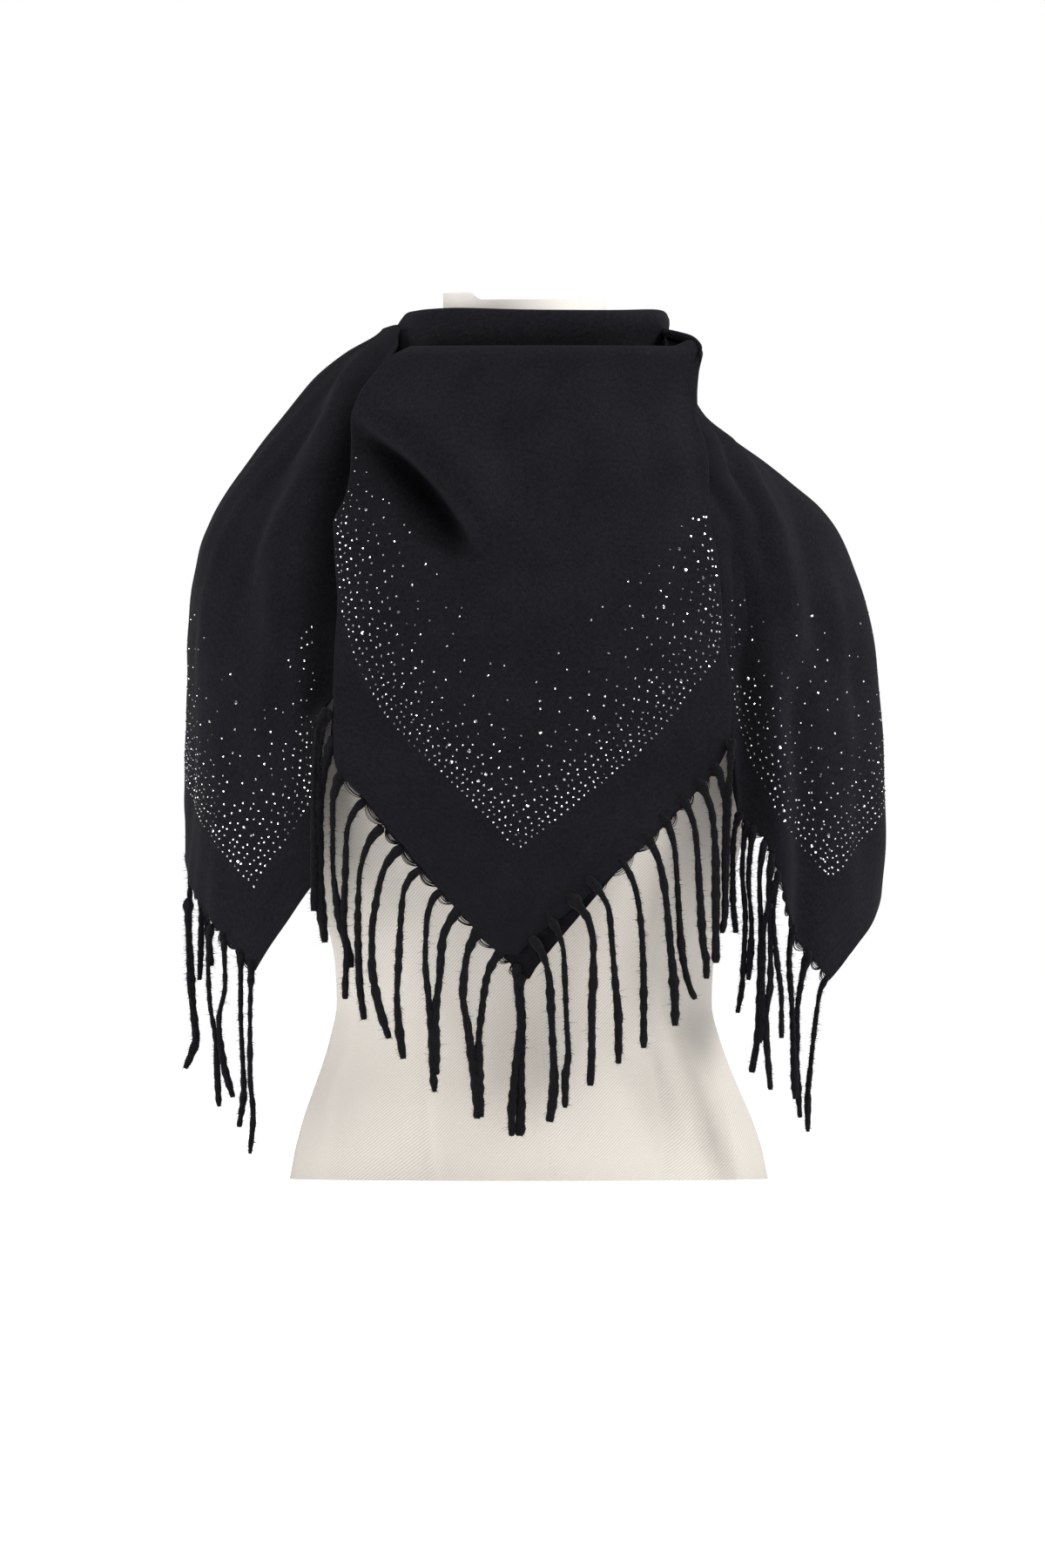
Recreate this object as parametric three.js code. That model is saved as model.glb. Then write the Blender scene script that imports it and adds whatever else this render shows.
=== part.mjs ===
// A square fringed scarf, folded on the diagonal and wound on a dress form.
// The form's front faces -Y, +Z is up, and the origin is on the form's flat underside.
// Every length is in millimetres and every turn in degrees, counted from the front
// (0) round the wearer's side (90) to the centre of the back (180).
import * as THREE from 'three';

// ---------------------------------------------------------------- driving sizes
const CLOTH_WALL = 1.8;      // brushed woollen cloth
const FOLDED_WALL = 3.0;     // the same cloth, doubled at the standing fold
const LAYER_STEP = 3;        // from the middle of one layer to the middle of the next
const CROSSING_STEP = 5.4;   // the same, measured level where the cloth leans at the crossing
const SEAM_GAP = 0.3;        // between pieces that meet
const FRINGE_WALL = 3;       // a row of tassels, pressed flat
const FRINGE_DROP = 100;     // how far the tassels hang under an edge

const FORM_SIDES = 48;       // faces round the dress form
const CAP_GAP = 0.3;         // between the neck and its cap

// ---------------------------------------------------------------- colours
const CHARCOAL = new THREE.Color(0x18181b);
const FRINGE_BLACK = new THREE.Color(0x141416);
const LINEN = new THREE.Color(0xded7cf);
const CAP_CREAM = new THREE.Color(0xebe4da);

function finish(color, roughness) {
  return new THREE.MeshStandardMaterial({ color, roughness, metalness: 0 });
}

// ---------------------------------------------------------------- tables
// A table's row at any value of its first column: smooth between the rows,
// never past them, and level beyond its two ends.
function rowAt(table, at) {
  const key = Object.keys(table[0])[0];
  const rows = [...table].sort((a, b) => a[key] - b[key]);
  const last = rows.length - 1;
  const place = Math.min(Math.max(at, rows[0][key]), rows[last][key]);
  let i = 0;
  while (i < last - 1 && place > rows[i + 1][key]) i += 1;
  const slope = (column, n) => {
    if (n < 0 || n >= last) return null;
    return (rows[n + 1][column] - rows[n][column]) / (rows[n + 1][key] - rows[n][key]);
  };
  const tangent = (column, n) => {
    const before = slope(column, n - 1);
    const after = slope(column, n);
    if (before === null) return after;
    if (after === null) return before;
    return before * after <= 0 ? 0 : (2 * before * after) / (before + after);
  };
  const span = rows[i + 1][key] - rows[i][key];
  const f = (place - rows[i][key]) / span;
  const found = {};
  for (const column of Object.keys(rows[0])) {
    const a = rows[i][column];
    const b = rows[i + 1][column];
    const ta = tangent(column, i) * span;
    const tb = tangent(column, i + 1) * span;
    found[column] = a * (2 * f ** 3 - 3 * f ** 2 + 1) + ta * (f ** 3 - 2 * f ** 2 + f)
      + b * (3 * f ** 2 - 2 * f ** 3) + tb * (f ** 3 - f ** 2);
  }
  return found;
}

// The same table with straight lines between its rows, for cut edges and corners.
function straightAt(table, at) {
  const [key, value] = Object.keys(table[0]);
  const rows = [...table].sort((a, b) => a[key] - b[key]);
  const last = rows.length - 1;
  if (at <= rows[0][key]) return rows[0][value];
  if (at >= rows[last][key]) return rows[last][value];
  let i = 0;
  while (at > rows[i + 1][key]) i += 1;
  const f = (at - rows[i][key]) / (rows[i + 1][key] - rows[i][key]);
  return rows[i][value] + f * (rows[i + 1][value] - rows[i][value]);
}

function smoothStep(from, to, at) {
  const f = Math.min(Math.max((at - from) / (to - from), 0), 1);
  return f * f * (3 - 2 * f);
}

// ---------------------------------------------------------------- meshes
function meshFrom(name, corners, faces, material) {
  let volume = 0;
  const normal = new THREE.Vector3();
  for (const [a, b, c] of faces) {
    volume += corners[a].dot(normal.crossVectors(corners[b], corners[c]));
  }
  const outward = volume > 0 ? faces : faces.map(([a, b, c]) => [a, c, b]);
  const geometry = new THREE.BufferGeometry();
  const places = corners.flatMap((p) => [p.x, p.y, p.z]);
  geometry.setAttribute('position', new THREE.Float32BufferAttribute(places, 3));
  geometry.setIndex(outward.flat());
  geometry.computeVertexNormals();
  const mesh = new THREE.Mesh(geometry, material);
  mesh.name = name;
  return mesh;
}

// The direction square to a grid of points at one of them.
function gridNormal(grid, r, c, closed) {
  const columns = grid[0].length;
  const wrap = (n) => (closed ? (n + columns) % columns : Math.min(Math.max(n, 0), columns - 1));
  const up = grid[Math.max(r - 1, 0)][c];
  const down = grid[Math.min(r + 1, grid.length - 1)][c];
  const left = grid[r][wrap(c - 1)];
  const right = grid[r][wrap(c + 1)];
  const along = new THREE.Vector3().subVectors(right, left);
  const across = new THREE.Vector3().subVectors(down, up);
  return along.cross(across).normalize();
}

// A grid moved out by a distance along its own normals.
function movedOut(grid, distance, closed = false) {
  return grid.map((row, r) => row.map((point, c) => (
    point.clone().addScaledVector(gridNormal(grid, r, c, closed), distance)
  )));
}

// A wall of cloth with the grid as its middle, closed round its edges.
function wallFrom(name, grid, thickness, material, closed = false) {
  const rows = grid.length;
  const columns = grid[0].length;
  const sides = [movedOut(grid, thickness / 2, closed), movedOut(grid, -thickness / 2, closed)];
  const corners = sides.flat(2);
  const at = (side, r, c) => side * rows * columns + r * columns + (c % columns);
  const faces = [];
  const quad = (a, b, c, d) => faces.push([a, b, c], [a, c, d]);
  const spans = closed ? columns : columns - 1;
  for (let r = 0; r < rows - 1; r += 1) {
    for (let c = 0; c < spans; c += 1) {
      quad(at(0, r, c), at(0, r + 1, c), at(0, r + 1, c + 1), at(0, r, c + 1));
      quad(at(1, r, c), at(1, r, c + 1), at(1, r + 1, c + 1), at(1, r + 1, c));
    }
  }
  for (let c = 0; c < spans; c += 1) {
    quad(at(0, 0, c), at(0, 0, c + 1), at(1, 0, c + 1), at(1, 0, c));
    quad(at(0, rows - 1, c + 1), at(0, rows - 1, c), at(1, rows - 1, c), at(1, rows - 1, c + 1));
  }
  if (!closed) {
    const end = columns - 1;
    for (let r = 0; r < rows - 1; r += 1) {
      quad(at(0, r + 1, 0), at(0, r, 0), at(1, r, 0), at(1, r + 1, 0));
      quad(at(0, r, end), at(0, r + 1, end), at(1, r + 1, end), at(1, r, end));
    }
  }
  return meshFrom(name, corners, faces, material);
}

// A solid through closed rings of points, with a flat face at each end.
function loftFrom(name, rings, material) {
  const columns = rings[0].length;
  const corners = rings.flat();
  const faces = [];
  for (let r = 0; r < rings.length - 1; r += 1) {
    for (let c = 0; c < columns; c += 1) {
      const next = (c + 1) % columns;
      const [a, b] = [r * columns + c, r * columns + next];
      faces.push([a, b, b + columns], [a, b + columns, a + columns]);
    }
  }
  for (const [ring, first] of [[rings[0], 0], [rings.at(-1), (rings.length - 1) * columns]]) {
    const middle = ring.reduce((sum, p) => sum.add(p), new THREE.Vector3());
    corners.push(middle.divideScalar(columns));
    for (let c = 0; c < columns; c += 1) {
      const pair = [first + c, first + ((c + 1) % columns)];
      faces.push(first ? [...pair, corners.length - 1] : [pair[1], pair[0], corners.length - 1]);
    }
  }
  return meshFrom(name, corners, faces, material);
}

// ---------------------------------------------------------------- the dress form
const FORM_SECTIONS = [
  { z: 0, half: 153.5, front: 116, back: 118, side: 3 },
  { z: 20, half: 149.5, front: 113, back: 117, side: 2.8 },
  { z: 38, half: 144, front: 109, back: 113, side: 2.2 },
  { z: 56, half: 137, front: 104, back: 107, side: 1.4 },
  { z: 74, half: 130, front: 98, back: 99, side: 0.9 },
  { z: 92, half: 124.3, front: 94, back: 91, side: 0.3 },
  { z: 112, half: 120.2, front: 92, back: 86, side: 0 },
  { z: 136, half: 121, front: 94, back: 86, side: 0 },
  { z: 170, half: 128, front: 101, back: 90, side: 0 },
  { z: 215, half: 139, front: 113, back: 96, side: 0 },
  { z: 265, half: 147, front: 123, back: 101, side: 0 },
  { z: 305, half: 150, front: 124, back: 104, side: 0 },
  { z: 345, half: 155, front: 115, back: 106, side: 0 },
  { z: 380, half: 168, front: 103, back: 103, side: 0 },
  { z: 402, half: 181, front: 92, back: 97, side: 0 },
  { z: 418, half: 187, front: 82, back: 89, side: 0 },
  { z: 429, half: 185.2, front: 75, back: 81, side: 0 },
  { z: 438, half: 174.6, front: 70, back: 75, side: 0 },
  { z: 448, half: 150, front: 66, back: 70, side: 0 },
  { z: 459, half: 118, front: 63, back: 66, side: 0 },
  { z: 470, half: 88, front: 60, back: 62, side: 0 },
  { z: 482, half: 68, front: 57, back: 58, side: 0 },
  { z: 500, half: 57, front: 55, back: 54, side: 0 },
  { z: 525, half: 53, front: 53, back: 51, side: 0 },
  { z: 549, half: 51.5, front: 52, back: 50, side: 0 },
];

function ovalRing(section, z, sides, grow = 0) {
  const ring = [];
  for (let i = 0; i < sides; i += 1) {
    const turn = (i / sides) * 2 * Math.PI;
    const depth = Math.cos(turn) > 0 ? section.front : section.back;
    const x = section.side + (section.half + grow) * Math.sin(turn);
    ring.push(new THREE.Vector3(x, -(depth + grow) * Math.cos(turn), z));
  }
  return ring;
}

function dressForm() {
  const rings = FORM_SECTIONS.map((section) => ovalRing(section, section.z, FORM_SIDES));
  return loftFrom('dress_form', rings, finish(LINEN, 0.85));
}

// The neck's cap: a shallow plug with a rounded rim, its rim standing up as a lip on one side.
const CAP_SECTIONS = [
  { rise: 0, grow: 0 },
  { rise: 9, grow: 0.4 },
  { rise: 12.5, grow: -1.5 },
  { rise: 13.5, grow: -6 },
  { rise: 13.5, grow: -14 },
];
const CAP_RIM = 12;          // rings above this rise are the rim, which the lip lifts
const CAP_LIP = 4.5;         // how far the lip stands above the cap
const CAP_LIP_FROM = -27;    // where the lip begins to rise, and where it has its full height
const CAP_LIP_TO = -35;

function neckCap() {
  const top = FORM_SECTIONS.at(-1);
  const foot = top.z + CAP_GAP;
  const rings = CAP_SECTIONS.map(({ rise, grow }) => {
    const ring = ovalRing(top, foot + rise, FORM_SIDES, grow);
    for (const point of ring) {
      const lip = smoothStep(CAP_LIP_FROM, CAP_LIP_TO, point.x);
      if (rise > CAP_RIM) point.z += CAP_LIP * lip;
    }
    return ring;
  });
  return loftFrom('neck_cap', rings, finish(CAP_CREAM, 0.7));
}

// ---------------------------------------------------------------- the standing fold
// The folded diagonal of the square, once round the neck.
const WRAP_SECTIONS = [
  { z: 555, half: 81, front: 77, back: 72, side: 8 },
  { z: 550, half: 83.2, front: 79, back: 74, side: 7.2 },
  { z: 538, half: 85.8, front: 80, back: 75, side: 2 },
  { z: 520, half: 85, front: 78, back: 74, side: -1 },
  { z: 497, half: 83.5, front: 74, back: 70, side: -1 },
  { z: 475.1, half: 82.5, front: 69, back: 66, side: 0 },
];
const WRAP_SIDES = 40;
const WRAP_RIM_WAVES = [
  { turn: 320, height: 1.6, reach: 26 },
  { turn: 70, height: 1.2, reach: 24 },
  { turn: 180, height: -5, reach: 60 },
];

// How much a list of soft swellings adds at a turn.
function swelling(list, turn) {
  return list.reduce((sum, { turn: at, height, reach }) => {
    const away = ((turn - at + 540) % 360) - 180;
    return sum + height * Math.exp(-((away / reach) ** 2));
  }, 0);
}

function neckWrap() {
  const top = WRAP_SECTIONS[0].z;
  const foot = WRAP_SECTIONS.at(-1).z;
  const grid = WRAP_SECTIONS.map((section) => {
    const ring = ovalRing(section, section.z, WRAP_SIDES);
    ring.forEach((point, i) => {
      const rim = (section.z - foot) / (top - foot);
      point.z += rim * swelling(WRAP_RIM_WAVES, (360 * i) / WRAP_SIDES);
    });
    return ring;
  });
  return wallFrom('neck_wrap', grid, FOLDED_WALL, finish(CHARCOAL, 0.9), true);
}

// ---------------------------------------------------------------- the drapes
// Level sections of the cloth over one shoulder: half its width, its depth in front and
// behind, how square its corners are, and where its inner edge stands in front.
const LEFT_SECTIONS = [
  { z: 550, half: 86, front: 72, back: 79, square: 2.1, inner: 68 },
  { z: 542, half: 91, front: 76, back: 82, square: 2.1, inner: 71 },
  { z: 529, half: 112, front: 81, back: 85, square: 2.1, inner: 80 },
  { z: 515, half: 130, front: 87, back: 89, square: 2.15, inner: 92 },
  { z: 502, half: 142, front: 92, back: 93, square: 2.2, inner: 102 },
  { z: 482, half: 159, front: 98, back: 99, square: 2.25, inner: 109 },
  { z: 462, half: 174.5, front: 103, back: 104, square: 2.3, inner: 116 },
  { z: 442, half: 188.5, front: 107, back: 107, square: 2.4, inner: 122 },
  { z: 422, half: 200, front: 111, back: 110, square: 2.5, inner: 127 },
  { z: 400, half: 207.5, front: 114, back: 111, square: 2.6, inner: 130 },
  { z: 370, half: 212, front: 117, back: 112, square: 2.6, inner: 132 },
  { z: 340, half: 213.5, front: 119, back: 112, square: 2.6, inner: 133 },
  { z: 260, half: 214.5, front: 121, back: 111, square: 2.6, inner: 133 },
  { z: 180, half: 216, front: 121, back: 109, square: 2.6, inner: 133 },
  { z: 130, half: 217, front: 120, back: 108, square: 2.6, inner: 133 },
];
const RIGHT_SECTIONS = [
  { z: 543, half: 92, front: 74, back: 85.5, square: 2.1, inner: 66 },
  { z: 534, half: 101, front: 78, back: 88, square: 2.1, inner: 70 },
  { z: 520, half: 105.5, front: 83, back: 92, square: 2.1, inner: 76 },
  { z: 505, half: 107, front: 87, back: 96.5, square: 2.1, inner: 84 },
  { z: 490, half: 114, front: 92, back: 101, square: 2.15, inner: 94 },
  { z: 475, half: 131, front: 96, back: 105, square: 2.2, inner: 108 },
  { z: 460, half: 152, front: 101, back: 108.5, square: 2.3, inner: 111 },
  { z: 445, half: 171, front: 105, back: 111, square: 2.4, inner: 113 },
  { z: 430, half: 189, front: 108, back: 113, square: 2.5, inner: 114 },
  { z: 415, half: 200, front: 111, back: 114, square: 2.6, inner: 115 },
  { z: 395, half: 209, front: 114, back: 114.5, square: 2.6, inner: 116 },
  { z: 370, half: 217, front: 117, back: 114, square: 2.6, inner: 119 },
  { z: 340, half: 222, front: 119, back: 114, square: 2.6, inner: 122 },
  { z: 300, half: 225.5, front: 121, back: 113, square: 2.6, inner: 130 },
  { z: 260, half: 228.5, front: 122, back: 112, square: 2.6, inner: 137 },
  { z: 220, half: 229.5, front: 122, back: 111, square: 2.6, inner: 140.5 },
  { z: 150, half: 227, front: 121, back: 109, square: 2.6, inner: 141 },
  { z: 120, half: 226, front: 120, back: 108, square: 2.6, inner: 141 },
];

// The cut edge under each drape: from its inner edge down to the corner of the square,
// then up round the side to the crossing behind the neck.
const LEFT_HEM = [
  { turn: 33, z: 191 },
  { turn: 40, z: 165 },
  { turn: 48.5, z: 134 },
  { turn: 56, z: 150 },
  { turn: 65, z: 169 },
  { turn: 77, z: 184 },
  { turn: 90, z: 200 },
  { turn: 106, z: 230 },
  { turn: 121, z: 266 },
  { turn: 136, z: 308 },
  { turn: 151, z: 352 },
  { turn: 166, z: 396 },
  { turn: 180, z: 432 },
  { turn: 187, z: 448 },
];
const RIGHT_HEM = [
  { turn: 32, z: 234 },
  { turn: 36, z: 219 },
  { turn: 40, z: 176 },
  { turn: 46, z: 153 },
  { turn: 54.5, z: 128 },
  { turn: 62, z: 143 },
  { turn: 72, z: 160 },
  { turn: 82, z: 178 },
  { turn: 92, z: 197 },
  { turn: 106, z: 230 },
  { turn: 121, z: 270 },
  { turn: 136, z: 313 },
  { turn: 151, z: 357 },
  { turn: 166, z: 400 },
  { turn: 180, z: 438 },
  { turn: 200, z: 478 },
  { turn: 220, z: 514 },
  { turn: 236, z: 534 },
];

// The largest folds: each follows its own line of turns down the cloth, stands out from it
// by `height` (in, where it is negative) and fades at both ends of its fall.
const LEFT_FOLDS = [
  { line: [{ z: 546, turn: 74 }, { z: 520, turn: 62 }, { z: 489, turn: 53 }, { z: 441, turn: 47 },
    { z: 340, turn: 42 }], height: 5, reach: 5.5, from: 560, to: 330 },
  { line: [{ z: 500, turn: 66 }, { z: 441, turn: 58 }, { z: 340, turn: 56 }],
    height: -4, reach: 7, from: 545, to: 300 },
  { line: [{ z: 500, turn: 104 }, { z: 200, turn: 96 }], height: 4, reach: 8, from: 470, to: 190 },
  { line: [{ z: 500, turn: 128 }, { z: 250, turn: 118 }], height: -5, reach: 7, from: 500, to: 220 },
  { line: [{ z: 520, turn: 150 }, { z: 300, turn: 136 }], height: 6, reach: 7, from: 530, to: 280 },
  { line: [{ z: 520, turn: 168 }, { z: 340, turn: 157 }], height: -4, reach: 6, from: 530, to: 330 },
];
const RIGHT_FOLDS = [
  { line: [{ z: 480, turn: 74 }, { z: 454, turn: 55 }, { z: 400, turn: 45 }],
    height: 4, reach: 4.5, from: 492, to: 385 },
  { line: [{ z: 462, turn: 72 }, { z: 443, turn: 62 }, { z: 410, turn: 53 }, { z: 320, turn: 50 }],
    height: 4.5, reach: 5, from: 480, to: 300 },
  { line: [{ z: 340, turn: 38 }, { z: 140, turn: 39 }], height: 6, reach: 3.6, from: 380, to: 90 },
  { line: [{ z: 340, turn: 46 }, { z: 140, turn: 47 }], height: -4, reach: 4, from: 370, to: 90 },
  { line: [{ z: 420, turn: 84 }, { z: 160, turn: 78 }], height: 3.5, reach: 7, from: 400, to: 150 },
  { line: [{ z: 500, turn: 112 }, { z: 220, turn: 104 }], height: -5, reach: 7, from: 480, to: 200 },
  { line: [{ z: 520, turn: 138 }, { z: 260, turn: 126 }], height: 6, reach: 7, from: 520, to: 240 },
  { line: [{ z: 530, turn: 160 }, { z: 320, turn: 148 }], height: -4.5, reach: 6, from: 530, to: 300 },
];

const FOLD_FADE = 0.25;      // of a fold's length, at each of its ends

function foldHeight(folds, turn, z) {
  return folds.reduce((sum, fold) => {
    if (z > fold.from || z < fold.to) return sum;
    const middle = rowAt(fold.line, z).turn;
    const fall = (fold.from - z) / (fold.from - fold.to);
    const fade = Math.min(1, fall / FOLD_FADE, (1 - fall) / FOLD_FADE);
    return sum + fold.height * fade * Math.exp(-(((turn - middle) / fold.reach) ** 2));
  }, 0);
}

// Each drape: the side it hangs on (`hand`), its tables, and the line that its cloth leaves
// the standing fold along.
const LEFT_DRAPE = {
  hand: -1,
  sections: LEFT_SECTIONS,
  hem: LEFT_HEM,
  folds: LEFT_FOLDS,
  top: [{ turn: 33, z: 540 }, { turn: 60, z: 549 }, { turn: 110, z: 548 }, { turn: 187, z: 541 }],
};
const RIGHT_DRAPE = {
  hand: 1,
  sections: RIGHT_SECTIONS,
  hem: RIGHT_HEM,
  folds: RIGHT_FOLDS,
  top: [{ turn: 32, z: 538 }, { turn: 60, z: 541 }, { turn: 90, z: 537 }, { turn: 180, z: 541 },
    { turn: 236, z: 542 }],
};

// A point of the cloth over one shoulder, at a turn and a height.
function shoulderPoint(drape, turn, z, lift) {
  const section = rowAt(drape.sections, z);
  const power = 2 / section.square;
  const angle = (turn * Math.PI) / 180;
  const out = lift + foldHeight(drape.folds, turn, z);
  const deep = Math.cos(angle) > 0 ? section.front : section.back;
  const across = Math.abs(Math.sin(angle)) ** power;
  const along = Math.sign(Math.cos(angle)) * Math.abs(Math.cos(angle)) ** power;
  return new THREE.Vector3(drape.hand * (section.half + out) * across, -(deep + out) * along, z);
}

// A point of a drape, given how far round its hem it is and how high it lies. Past the
// centre of the back a drape lies on the other one, a layer further out or further in.
const CROSSED_BY = 186;      // the turn at which it follows the other one fully

function drapePoint(drape, hemTurn, z) {
  if (hemTurn > 180) {
    const fade = smoothStep(180, CROSSED_BY, hemTurn);
    const own = rowAt(drape.sections, z).back;
    const other = rowAt(drape.under.sections, z).back;
    const lift = drape.crossing + (1 - fade) * (own - other - drape.crossing);
    return shoulderPoint(drape.under, 360 - hemTurn, z, lift);
  }
  const inner = drape.hem[0].turn;
  const section = rowAt(drape.sections, z);
  const reach = Math.min(section.inner / section.half, 1) ** (section.square / 2);
  const start = (180 / Math.PI) * Math.asin(reach);
  const opening = (start - inner) * (1 - (hemTurn - inner) / (180 - inner));
  return shoulderPoint(drape, hemTurn + opening, z, 0);
}

LEFT_DRAPE.under = RIGHT_DRAPE;
LEFT_DRAPE.crossing = -CROSSING_STEP;
RIGHT_DRAPE.under = LEFT_DRAPE;
RIGHT_DRAPE.crossing = CROSSING_STEP;

const DRAPE_ROWS = 13;
const DRAPE_STEPS = 2;       // columns from one row of a hem's table to the next
const DRAPE_CROWDING = 1.1;  // above 1 the rows lie closer together near the shoulder

// The left drape's inner edge rolls back behind the front panel: how far in and how far
// back each step of the roll lies, from its end. It fades out at the neck and further down.
const INNER_ROLL = [
  { inward: 19, back: 17 },
  { inward: 11.5, back: 14.5 },
  { inward: 4, back: 8.5 },
];
const ROLL_SHARE = 0.5;      // degrees for each step of a roll that lies flat
const ROLL_TOP = [500, 472];
const ROLL_END = [290, 320];
LEFT_DRAPE.roll = INNER_ROLL;
RIGHT_DRAPE.roll = [];

// The turns at which a drape has a column.
function columnTurns(hem) {
  const turns = [];
  for (let i = 0; i < hem.length - 1; i += 1) {
    for (let n = 0; n < DRAPE_STEPS; n += 1) {
      turns.push(hem[i].turn + (n / DRAPE_STEPS) * (hem[i + 1].turn - hem[i].turn));
    }
  }
  turns.push(hem.at(-1).turn);
  return turns;
}

// The column that ends at the corner of the square, the lowest place of a drape's hem.
function cornerColumn(hem) {
  const lowest = Math.min(...hem.map(({ z }) => z));
  return DRAPE_STEPS * hem.findIndex(({ z }) => z === lowest);
}

function drapeGrid(drape) {
  const turns = columnTurns(drape.hem);
  const steps = drape.roll.length;
  const grid = [];
  for (let r = 0; r <= DRAPE_ROWS; r += 1) {
    const fall = (r / DRAPE_ROWS) ** DRAPE_CROWDING;
    const placeAt = (turn) => {
      const top = rowAt(drape.top, turn).z;
      const hem = straightAt(drape.hem, turn);
      return drapePoint(drape, turn, top + fall * (hem - top));
    };
    const edge = placeAt(turns[0]);
    const rolled = (1 - smoothStep(ROLL_TOP[1], ROLL_TOP[0], edge.z)) * smoothStep(...ROLL_END, edge.z);
    const row = drape.roll.map(({ inward, back }, n) => {
      const folded = edge.clone().add(new THREE.Vector3(-drape.hand * inward, back, 0));
      return placeAt(turns[0] + n * ROLL_SHARE).lerp(folded, rolled);
    });
    const first = turns[0] + steps * ROLL_SHARE * (1 - rolled);
    grid.push([...row, placeAt(first), ...turns.slice(1).map(placeAt)]);
  }
  return grid;
}

// ---------------------------------------------------------------- the front panel
// Rows from the edge tucked in behind the cowl fold, over the fold, and down to the tip:
// height, where the sides stand, how far forward the middle and the sides are, and how
// much of the cloth beyond each side is turned back behind it (none to all).
const PANEL_SECTIONS = [
  { row: 0, z: 508, left: -78, right: 82, middle: 88, leftDepth: 66, rightDepth: 69,
    leftTuck: 0, rightTuck: 0 },
  { row: 1, z: 524, left: -76, right: 98, middle: 91, leftDepth: 68, rightDepth: 64,
    leftTuck: 0, rightTuck: 0 },
  { row: 2, z: 532, left: -72, right: 104.5, middle: 96, leftDepth: 71, rightDepth: 62,
    leftTuck: 0, rightTuck: 0 },
  { row: 3, z: 528, left: -82, right: 109.5, middle: 102, leftDepth: 76, rightDepth: 62,
    leftTuck: 0.3, rightTuck: 0.5 },
  { row: 4, z: 515, left: -96, right: 109.5, middle: 106.5, leftDepth: 79, rightDepth: 63,
    leftTuck: 0.7, rightTuck: 1 },
  { row: 5, z: 500, left: -106.5, right: 107, middle: 110.5, leftDepth: 83, rightDepth: 67,
    leftTuck: 1, rightTuck: 1 },
  { row: 6, z: 485, left: -111, right: 111, middle: 114.5, leftDepth: 90, rightDepth: 73,
    leftTuck: 1, rightTuck: 1 },
  { row: 7, z: 470, left: -110.5, right: 115.5, middle: 118, leftDepth: 92, rightDepth: 79,
    leftTuck: 1, rightTuck: 0.6 },
  { row: 8, z: 455, left: -111, right: 117.5, middle: 121.5, leftDepth: 96, rightDepth: 86,
    leftTuck: 1, rightTuck: 0.2 },
  { row: 9, z: 438, left: -114, right: 117.5, middle: 125, leftDepth: 100, rightDepth: 92.5,
    leftTuck: 1, rightTuck: 0 },
  { row: 10, z: 418, left: -122, right: 119, middle: 129.5, leftDepth: 105, rightDepth: 99.5,
    leftTuck: 1, rightTuck: 0 },
  { row: 11, z: 395, left: -121, right: 123.5, middle: 134, leftDepth: 110, rightDepth: 105.5,
    leftTuck: 1, rightTuck: 0 },
  { row: 12, z: 368, left: -119, right: 125.5, middle: 139, leftDepth: 115, rightDepth: 114,
    leftTuck: 0.6, rightTuck: 0 },
  { row: 13, z: 340, left: -120.5, right: 128, middle: 143, leftDepth: 119, rightDepth: 118,
    leftTuck: 0, rightTuck: 0 },
  { row: 14, z: 310, left: -121.5, right: 131.5, middle: 146, leftDepth: 122, rightDepth: 121,
    leftTuck: 0, rightTuck: 0 },
  { row: 15, z: 285, left: -121, right: 131, middle: 147.5, leftDepth: 124, rightDepth: 124,
    leftTuck: 0, rightTuck: 0 },
  { row: 16, z: 266, left: -120, right: 124, middle: 148, leftDepth: 127, rightDepth: 127,
    leftTuck: 0, rightTuck: 0 },
  { row: 17, z: 242, left: -99.5, right: 103, middle: 147.5, leftDepth: 132, rightDepth: 132,
    leftTuck: 0, rightTuck: 0 },
  { row: 18, z: 215, left: -77, right: 77, middle: 147, leftDepth: 138, rightDepth: 138,
    leftTuck: 0, rightTuck: 0 },
  { row: 19, z: 190, left: -56, right: 49, middle: 146, leftDepth: 143, rightDepth: 143,
    leftTuck: 0, rightTuck: 0 },
  { row: 20, z: 168, left: -37, right: 22, middle: 145, leftDepth: 144, rightDepth: 144,
    leftTuck: 0, rightTuck: 0 },
  { row: 21, z: 153, left: -24, right: 3, middle: 144.5, leftDepth: 144.5, rightDepth: 144.5,
    leftTuck: 0, rightTuck: 0 },
  { row: 22, z: 144.5, left: -14, right: -5, middle: 144, leftDepth: 144, rightDepth: 144,
    leftTuck: 0, rightTuck: 0 },
];
const COWL_ROW = 2.5;        // the rows before this one lie behind the cowl fold
const PANEL_COLUMNS = 20;
const PANEL_ROUND = 2.4;     // how suddenly the panel turns back at its sides

// Soft folds of the panel: a line from one point to the other, its height, half its width.
const PANEL_FOLDS = [
  { x: -112, z: 474, toX: -58, toZ: 430, height: -8, reach: 11 },
  { x: -58, z: 430, toX: -30, toZ: 400, height: -4, reach: 12 },
  { x: -98, z: 500, toX: -30, toZ: 440, height: 3.5, reach: 16 },
  { x: 100, z: 470, toX: 60, toZ: 330, height: 2.5, reach: 18 },
];

function panelFold(x, z) {
  return PANEL_FOLDS.reduce((sum, fold) => {
    const [dx, dz] = [fold.toX - fold.x, fold.toZ - fold.z];
    const length = Math.hypot(dx, dz);
    const along = ((x - fold.x) * dx + (z - fold.z) * dz) / length;
    const away = ((x - fold.x) * dz - (z - fold.z) * dx) / length;
    const past = Math.max(0, -along, along - length) / fold.reach;
    return sum + fold.height * Math.exp(-((away / fold.reach) ** 2) - past ** 2);
  }, 0);
}

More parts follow.
